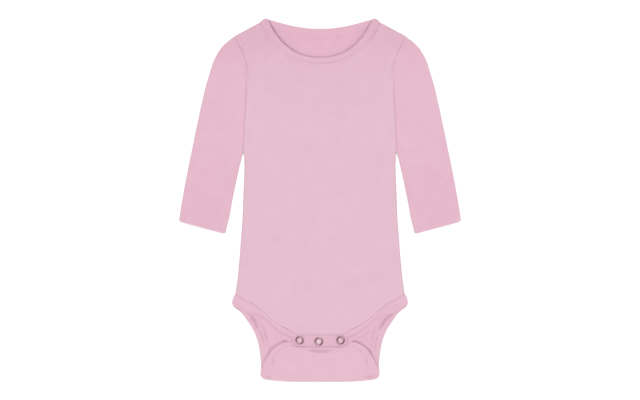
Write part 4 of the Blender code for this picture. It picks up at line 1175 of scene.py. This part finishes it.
def side_fold(fold, ahead, behind, gap=SEAM):
    """Where a band turns over at a side, with the ways in which its front half
    and its back half leave it."""
    curve = path(fold)
    ways = [np.array(way, float) / np.hypot(*way) for way in (ahead, behind)]

    def line(w):
        f = curve(w)
        across = curve(np.array([1.0]))[0] - curve(np.array([0.0]))[0]
        return f + (across / np.hypot(*across) * gap) * (1 - w)[:, None]

    def start(w):
        return line(w) + ways[0] * EDGE_R

    def finish(w):
        return line(w) + ways[1] * EDGE_R

    def bend(w, depth, angle):
        r = EDGE_R - depth
        t = (1 - math.sin(angle)) / 2
        way = ways[0] * (1 - t) + ways[1] * t
        p = line(w) + way * (EDGE_R - r[:, None] * math.cos(angle))
        return np.column_stack([p, EDGE_R + r * math.sin(angle)])

    return start, finish, bend, curve.length


def lifted(p, depth):
    return np.column_stack([p, front_underside(p[:, 0], p[:, 1], BAND_BASE) + BAND - depth])


def drooped(p, depth):
    q = lifted(p, depth)
    q[:, 2] -= droop(p[:, 0], p[:, 1])
    return q


def inner_face(p, sign, off, low):
    """Heights of the lower layer's bound edge: its underside's rise and the face
    that shows in the opening."""
    raised = inside_lift(p[:, 0], p[:, 1])
    inner = BAND - 0.55 * np.exp(-((off / 2.2) ** 2)) - 0.12 * np.exp(-((off / 0.7) ** 2)) - (BAND - low)
    inner = inner + raised + folded(p[:, 0] * sign, p[:, 1], LOWER_FOLDS)
    return raised, np.maximum(inner, 0.40)


def laid(p, depth):
    return np.column_stack([p, depth])


def turned_under(x, depth, angle):
    r = EDGE_R - depth
    return np.column_stack([x, fold_centre(x) - r * math.sin(angle), EDGE_R - r * math.cos(angle)])


def on_flap(p, depth):
    return np.column_stack([p, 2 * EDGE_R + end_rise(p[:, 0], p[:, 1]) - depth])


def faces_of(width, crown, seam_depth=0.62, relief=None, edge=0.7, dip=0.0, rise=0.9):
    """Offsets, and depths measured from the face that lies outwards."""
    off, low = band_under(width, edge, rise)
    top = band_top(off, width, crown, edge, seam_depth=seam_depth, dip=dip)
    if relief is not None:
        top = top - relief
    return off, np.minimum(top, low - 0.12), low


def neckband():
    start, finish, bend, fold_length = side_fold(NECK_FOLD, (-0.42, -0.91), (-0.86, -0.51))
    halves = {}
    for sign in (-1, 1):
        loops = []
        # front half, from the middle to the corner
        n = 84
        shares = np.linspace(1, 0, n + 1)
        seam = lambda s: stand_off(neck_seam_front(np.linspace(0, 1, 160)), (0.0, 230.0))
        line = seam(None)
        seam_at = path(line)
        s, e, plan = along(shares, seam_at, neck_edge_front, start, 0.09)
        for k in range(n + 1):
            width = float(np.hypot(*(e[k] - s[k])))
            off = offsets(width)
            w = off / width
            p = plan(k, w)
            relief = folded(p[:, 0] * sign, p[:, 1], NECK_BAND_FOLDS)
            relief = relief + 0.05 * drift(p[:, 0] * sign, p[:, 1], 7.0, 1.0)
            uneven = 1 + 0.45 * float(drift(s[k, 0] * sign, s[k, 1], 3.1, 2.0))
            off, top, low = faces_of(width, 0.7, seam_depth=float(NECK_DEPTH(s[k, 0])) * uneven, relief=relief,
                                     dip=0.85 * float(ease(shares[k] / 0.16)))
            curl = 1.05 * np.clip(1 - (width - off) / 5.0, 0, 1) ** 2 * (1 - ease((p[:, 0] - 18.0) / 30.0))
            q = np.concatenate([lifted(p, top + curl), lifted(p, low + curl)[::-1]])
            loops.append(q * (sign, 1, 1))
        # the corner
        off = offsets(fold_length)
        w = off / fold_length
        for angle in np.radians(np.linspace(78, -78, 14)):
            p = start(w)
            relief = folded(p[:, 0] * sign, p[:, 1], NECK_BAND_FOLDS) * max(math.sin(angle), 0.0)
            _, top, low = faces_of(fold_length, 0.8, seam_depth=0.10, relief=relief)
            q = np.concatenate([bend(w, top, angle), bend(w, low, angle)[::-1]])
            loops.append(q * (sign, 1, 1))
        # back half, from the corner to the middle; its inner face shows
        n = 66
        shares = np.linspace(0, 1, n + 1)
        seam_at = path(stand_off(neck_seam_back(np.linspace(0, 1, 160)), (0.0, 230.0)))
        s, e, plan = along(shares, seam_at, neck_edge_back, finish, 0.09)
        for k in range(n + 1):
            width = float(np.hypot(*(e[k] - s[k])))
            off, top, low = faces_of(width, 0.5, seam_depth=0.30)
            p = plan(k, off / width)
            # the inner face is level with the back's at their seam
            inner = BAND - 0.58 * np.exp(-((off / 2.6) ** 2)) - (BAND - low)
            d, _ = distance(p[:, 0], p[:, 1], NECK_FREE)
            inner = inner - 0.5 * np.exp(-((d / 1.0) ** 2)) * ease((p[:, 0] - 40.0) / 8.0)
            raised = inside_lift(p[:, 0], p[:, 1])
            q = np.concatenate([laid(p, np.minimum(top, inner - 0.15) + raised), laid(p, inner + raised)[::-1]])
            loops.append(q * (sign, 1, 1))
        halves[sign] = loops
    ring = halves[1] + halves[-1][::-1][1:-1]
    for loop in (ring[0],):
        loop[:, 0] = 0.0
    obj = swept("neckband_cloth", np.array(ring), knit_neck, closed=True)
    obj.data.materials.append(knit_back)       # the inside of the neck
    across = ring[0].shape[0]
    which = np.zeros((len(ring), across), np.int32)
    which[92:len(ring) - 92, across // 2 - 1:] = 1
    obj.data.polygons.foreach_set("material_index", which.ravel())
    return obj


def leg_binding(name, sign):
    start, finish, bend, fold_length = side_fold(LEG_FOLD, (-0.78, -0.62), (-0.66, -0.75))
    loops = []
    # front edge, from the tab to the corner
    n = 128
    shares = np.linspace(1, 0, n + 1)
    seam_at = path(stand_off(leg_seam_front(np.linspace(0, 1, 200)), (60.0, -200.0)))
    s, e, plan = along(shares, seam_at, leg_edge_front, start, 0.08)
    for k in range(n + 1):
        width = float(np.hypot(*(e[k] - s[k])))
        off = offsets(width)
        p = plan(k, off / width)
        strong = float(seam_strength(shares[k]) * puckered(shares[k] * LEG_RUN, 5.2, 0.45))
        relief = 0.06 * drift(p[:, 0] * sign, p[:, 1], 6.0, 5.0)
        dip = float(seam_dip(*s[k])) * float(ease(shares[k] / 0.14))
        fine = 0.7 - 0.45 * float(ease((shares[k] - 0.01) / 0.06))
        off, top, low = faces_of(width, 0.2, seam_depth=0.55 * strong, relief=relief, edge=fine, dip=dip, rise=0.2)
        top = np.minimum(top + thinned(p[:, 0], p[:, 1]), low - 0.12)
        q = np.concatenate([drooped(p, top), drooped(p, low)[::-1]])
        loops.append(q * (sign, 1, 1))
    off = offsets(fold_length)
    w = off / fold_length
    for angle in np.radians(np.linspace(78, -78, 14)):
        _, top, low = faces_of(fold_length, 0.4, seam_depth=0.10)
        q = np.concatenate([bend(w, top, angle), bend(w, low, angle)[::-1]])
        loops.append(q * (sign, 1, 1))
    # back edge, from the corner down to the bottom fold; its inner face shows
    edge_end = (70.2, float(fold_centre(70.2)))
    seam_end = (FOLD_HALF, float(fold_centre(FOLD_HALF)))
    seam_points = [q for q in LEG_SEAM_BACK if q[1] > -200.0] + [seam_end]
    seam_at = path(stand_off(path(seam_points)(np.linspace(0, 1, 220)), (110.0, -170.0)))
    edge_at = path(LEG_EDGE_BACK + (edge_end,))
    n = 190
    shares = np.linspace(0, 1, n + 1)
    s, e, plan = along(shares, seam_at, edge_at, finish, 0.07)
    for k in range(n + 1):
        width = float(np.hypot(*(e[k] - s[k])))
        off, top, low = faces_of(width, 0.5, seam_depth=0.35)
        p = plan(k, off / width)
        raised, inner = inner_face(p, sign, off, low)
        outer = top + outer_rise(p[:, 0], p[:, 1], raised)
        q = np.concatenate([laid(p, np.minimum(outer, inner - 0.15)), laid(p, inner)[::-1]])
        loops.append(q * (sign, 1, 1))
    # round the bottom fold
    width = float(np.hypot(*(e[n] - s[n])))
    off, top, low = faces_of(width, 0.6, seam_depth=0.2)
    x = plan(n, off / width)[:, 0]
    for angle in np.radians(np.linspace(0, 180, 17)[1:-1]):
        q = np.concatenate([turned_under(x, top, angle), turned_under(x, low, angle)[::-1]])
        loops.append(q * (sign, 1, 1))
    # up the flap
    seam_points = [seam_end] + [q for q in FLAP_SEAM[1:]] + [(33.2, -171.8), (31.6, -171.5)]
    seam_at = path(stand_off(path(seam_points)(np.linspace(0, 1, 160)), (70.0, -165.0)))
    edge_at = path((edge_end,) + FLAP_EDGE + ((31.6, -168.1),))
    n = 66
    shares = np.linspace(0, 1, n + 1)
    s, e, plan = along(shares, seam_at, edge_at)
    for k in range(n + 1):
        width = float(np.hypot(*(e[k] - s[k])))
        off, _, _ = faces_of(width, 0.8)
        p = plan(k, off / width)
        relief = folded(p[:, 0] * sign, p[:, 1], FLAP_FOLDS) * ease((p[:, 1] - fold_centre(p[:, 0])) / 1.6)
        end = float(ease((shares[k] - 0.82) / 0.14))      # thinner where it passes under the tab
        off, top, low = faces_of(width, 0.6, seam_depth=0.10, relief=relief, edge=0.7 - 0.4 * end)
        low = np.maximum(low - 0.85 * end * np.exp(-(((width - off) / 2.8) ** 2)), top + 0.2)
        q = np.concatenate([on_flap(p, top), on_flap(p, low)[::-1]])
        loops.append(q * (sign, 1, 1))
    return swept(name, np.array(loops), knit_leg[sign])


# ---- snap tab ------------------------------------------------------------------------
def front_tab():
    rows = np.concatenate([[-159.0, -159.2, -159.5, -160.0], np.linspace(-160.6, -171.4, 18),
                           [-171.9, -172.3, -172.6, -172.85, -173.0]])
    u = spaced(-33.0, 33.0, 0.75, (0.0, 0.15, 0.4, 0.8, 1.3)) / 33.0
    half = tab_half(rows) - SEAM
    uu, hh = np.meshgrid(u, half)
    x = uu * hh
    low = ease((rows - rows[0]) / (rows[-1] - rows[0]))[:, None]
    y = rows[:, None] - TAB_SAG * low * (1 - uu ** 2)
    a = np.abs(x)
    d, share = distance(a, y, FREE_LINE)
    sink = droop(x, y)
    top = TAB_BASE + BAND + 0.05 * drift(x, y, 5.0, 0.4) - sink - thinned(x, y)
    d_top, _ = distance(a, y, TAB_LINE)
    top = top + groove(d_top, 0.22, 0.8) - 0.4 * np.exp(-((d_top / 2.2) ** 2))
    top = top - 0.28 * (1 - rolled(d, 0.45))
    under = TAB_BASE + 0.12 * (1 - rolled(d, 0.45)) - sink
    for _, sx, sy in SNAPS:
        r = np.hypot(x - sx, y - sy)
        top = top - 0.30 * np.exp(-(((r - 5.4) / 1.2) ** 2)) + 0.75 * np.exp(-((r / 2.5) ** 4))
    under = np.minimum(under, top - 0.18)
    return shell("front_tab_cloth", np.dstack([x, y, top]), np.dstack([x, y, under]), knit_tab)


# ---- snaps -----------------------------------------------------------------------------
def snap_ring(tag, x, y):
    """The cap ring of a press snap: a thin pressed hoop with a rolled rim, and
    the five prong dimples on its inner edge."""
    profile = []
    for t in np.linspace(0, 2 * math.pi, 15)[:-1]:
        profile.append((4.12 + 0.84 * math.cos(t), 7.42 + (0.52 if math.sin(t) > 0 else 0.30) * math.sin(t)))
    segments = 72
    loops = []
    for k in range(segments):
        a = 2 * math.pi * k / segments
        dent = 0.10 * max(math.cos(5 * a), 0.0) ** 6
        loops.append([
            (x + (r + (dent if r < 3.7 else 0.0)) * math.cos(a), y + (r + (dent if r < 3.7 else 0.0)) * math.sin(a), z)
            for r, z in profile
        ])
    return swept("snap_cap_" + tag, np.array(loops), ring_metal, closed=True, angle=60.0)


# ---- stitches ----------------------------------------------------------------------------
def stitches(name, rows, mat, pitch=2.7, long=1.9, thick=0.20, crossing=()):
    """Joined small threads along rows of points (n, 3), each lying in its path,
    and single ones that cross a seam."""
    verts, faces = [], []
    sides = 6

    def one(p):
        ahead = p[-1] - p[0]
        size = np.linalg.norm(ahead)
        if size < 0.3:
            return
        ahead = ahead / size
        side_way = np.cross(ahead, (0.0, 0.0, 1.0))
        side_way /= max(np.linalg.norm(side_way), 1e-6)
        up = np.cross(side_way, ahead)
        first = len(verts)
        for point, lift, fat in zip(p, (-0.16, 0.03, 0.08, 0.03, -0.16), (0.55, 0.95, 1.0, 0.95, 0.55)):
            for q in range(sides):
                a = 2 * math.pi * q / sides
                verts.append(point + up * (lift + thick * fat * math.sin(a)) + side_way * thick * fat * 1.1 * math.cos(a))
        for k in range(4):
            for q in range(sides):
                m = (q + 1) % sides
                a = first + k * sides
                faces.append((a + q, a + m, a + sides + m, a + sides + q))
        faces.append(tuple(first + q for q in range(sides))[::-1])
        faces.append(tuple(first + 4 * sides + q for q in range(sides)))

    for row in rows:
        row = np.array(row, float)
        step = np.linalg.norm(np.diff(row, axis=0), axis=1)
        run = np.concatenate([[0.0], np.cumsum(step)])
        for c in range(int(run[-1] // pitch)):
            middle = (c + 0.5) * pitch + 0.12 * math.sin(7.3 * c)
            at = np.clip(middle + np.linspace(-0.5, 0.5, 5) * long, 0, run[-1])
            one(np.stack([np.interp(at, run, row[:, q]) for q in range(3)], -1))
    for first_end, last_end in crossing:
        one(np.linspace(first_end, last_end, 5))
    return add_object(name, verts, faces, mat, 60.0)


def band_row(sign, shares, off=None, back=None):
    """Points on a leg band's upper face, at a distance from its seam or from its
    free edge."""
    s = path(stand_off(leg_seam_front(np.linspace(0, 1, 200)), (60.0, -200.0)))(shares)
    e = leg_edge_front(shares)
    width = np.hypot(*(e - s).T)
    off = width - back if off is None else np.full(len(width), off)
    p = s + (e - s) * (off / width)[:, None]
    depth = (seam_dip(p[:, 0], p[:, 1]) * np.exp(-((off / 2.2) ** 2)) + thinned(p[:, 0], p[:, 1])
             + 0.55 * seam_strength(shares) * np.exp(-((off / 0.8) ** 2)))
    q = drooped(p, depth)
    q[:, 2] += 0.05
    return q * (sign, 1, 1)


def on_front(points):
    p = np.array(points, float)
    return np.column_stack([p, front_height(p[:, 0], p[:, 1]) + 0.02])


# ---- build -----------------------------------------------------------------------------
front = front_panel()
back = back_panel()
sleeves = {-1: sleeve("sleeve_left_cloth", -1), 1: sleeve("sleeve_right_cloth", 1)}
neck = neckband()
legs = {-1: leg_binding("leg_binding_left_cloth", -1), 1: leg_binding("leg_binding_right_cloth", 1)}
tab = front_tab()
caps = [snap_ring(*s) for s in SNAPS]

neck_row = []
for s in (1, -1):
    line = stand_off(neck_seam_front(np.linspace(0.03, 1, 200)), (0.0, 0.0), 2.9) * (s, 1)
    neck_row.append(on_front(line))
neck_stitches = stitches("neck_stitches", neck_row, neck_thread, thick=0.16)
for s in (1, -1):
    shares = np.linspace(0.30 if s > 0 else 0.43, 0.97, 200)
    line = stand_off(leg_seam_front(shares), (0.0, 0.0), 1.7) * (s, 1)
    rows = [on_front(line), band_row(s, np.linspace(0.30 if s > 0 else 0.50, 0.93, 200), back=2.0)]
    at = np.arange(0.33 if s > 0 else 0.45, 0.90, 0.040)
    low = band_row(s, at, off=1.0)
    high = on_front(stand_off(leg_seam_front(np.linspace(0, 1, 400)), (0.0, 0.0), 1.0)[
        np.round((at + 0.012) * 399).astype(int)] * (s, 1))
    stitches("leg_stitches_" + ("right" if s > 0 else "left"), rows, pink_thread,
                           pitch=3.3, long=2.1, thick=0.27, crossing=list(zip(low, high)))

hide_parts("front_panel")
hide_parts("back_panel")
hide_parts("sleeve_left")
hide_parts("sleeve_right")
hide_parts("neckband")
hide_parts("leg_binding_left")
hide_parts("leg_binding_right")
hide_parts("front_placket")
for (tag, _, _), cap in zip(SNAPS, caps):
    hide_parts("snap_ring_" + tag)
    for kind in ("snap_socket_", "snap_stud_", "snap_back_ring_"):
        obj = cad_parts[kind + tag]
        obj.data.materials.clear()
        obj.data.materials.append(inner_metal)


# ---- floor, light, camera ----------------------------------------------------------------
def plain_floor():
    mesh = bpy.data.meshes.new("floor")
    r = 4.0
    mesh.from_pydata([(-r, -r, -0.00015), (r, -r, -0.00015), (r, r, -0.00015), (-r, r, -0.00015)], [], [(0, 1, 2, 3)])
    mat = bpy.data.materials.new("pale_floor")
    mat.use_nodes = True
    tree = mat.node_tree
    shader = tree.nodes["Principled BSDF"]
    shader.inputs["Roughness"].default_value = 0.95
    shader.inputs["Specular IOR Level"].default_value = 0.05
    noise = node(tree, "ShaderNodeTexNoise")
    noise.inputs["Scale"].default_value = 40.0
    tree.links.new(mapped(tree), noise.inputs["Vector"])
    mix = node(tree, "ShaderNodeMix", data_type="RGBA")
    mix.inputs["A"].default_value = (0.930, 0.930, 0.930, 1.0)
    mix.inputs["B"].default_value = (0.945, 0.945, 0.945, 1.0)
    tree.links.new(noise.outputs["Fac"], mix.inputs["Factor"])
    tree.links.new(mix.outputs["Result"], shader.inputs["Base Color"])
    mesh.materials.append(mat)
    obj = bpy.data.objects.new("floor", mesh)
    bpy.context.scene.collection.objects.link(obj)
    obj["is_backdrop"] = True


def soft_light(name, at, size, power):
    data = bpy.data.lights.new(name, "AREA")
    data.shape = "RECTANGLE"
    data.size, data.size_y = size
    data.energy = power
    obj = bpy.data.objects.new(name, data)
    obj.location = at
    obj.rotation_euler = Vector((-at[0], -at[1], -at[2])).to_track_quat("-Z", "Y").to_euler()
    bpy.context.scene.collection.objects.link(obj)


plain_floor()
soft_light("softbox_north", (0.75, 1.3, 2.6), (2.2, 1.0), 33.5)
soft_light("softbox_south", (-0.75, -1.3, 2.6), (2.2, 1.0), 33.5)

world = bpy.data.worlds.new("studio")
bpy.context.scene.world = world
world.use_nodes = True
tree = world.node_tree
background = tree.nodes["Background"]
place = node(tree, "ShaderNodeTexCoord")
parts = node(tree, "ShaderNodeSeparateXYZ")
tree.links.new(place.outputs["Generated"], parts.inputs[0])
ramp = node(tree, "ShaderNodeValToRGB")
ramp.color_ramp.interpolation = "EASE"
ramp.color_ramp.elements[0].position = 0.80
ramp.color_ramp.elements[0].color = (0.90, 0.90, 0.90, 1.0)
ramp.color_ramp.elements[1].position = 0.95
ramp.color_ramp.elements[1].color = (0.25, 0.25, 0.25, 1.0)
tree.links.new(parts.outputs["Z"], ramp.inputs["Fac"])
tree.links.new(ramp.outputs["Color"], background.inputs["Color"])
background.inputs["Strength"].default_value = 1.0

camera_data = bpy.data.cameras.new("camera")
camera_data.lens = 135.0
camera_data.sensor_width = 36.0
camera_data.clip_start, camera_data.clip_end = 0.05, 60.0
camera = bpy.data.objects.new("camera", camera_data)
camera.location = (0.0, 0.0, 0.7552 * 135.0 / 36.0 + 0.003)
camera.rotation_euler = (0.0, 0.0, 0.0)
bpy.context.scene.collection.objects.link(camera)
bpy.context.scene.camera = camera
bpy.context.scene.view_settings.view_transform = "Standard"
bpy.context.scene.view_settings.look = "None"

low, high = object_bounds()
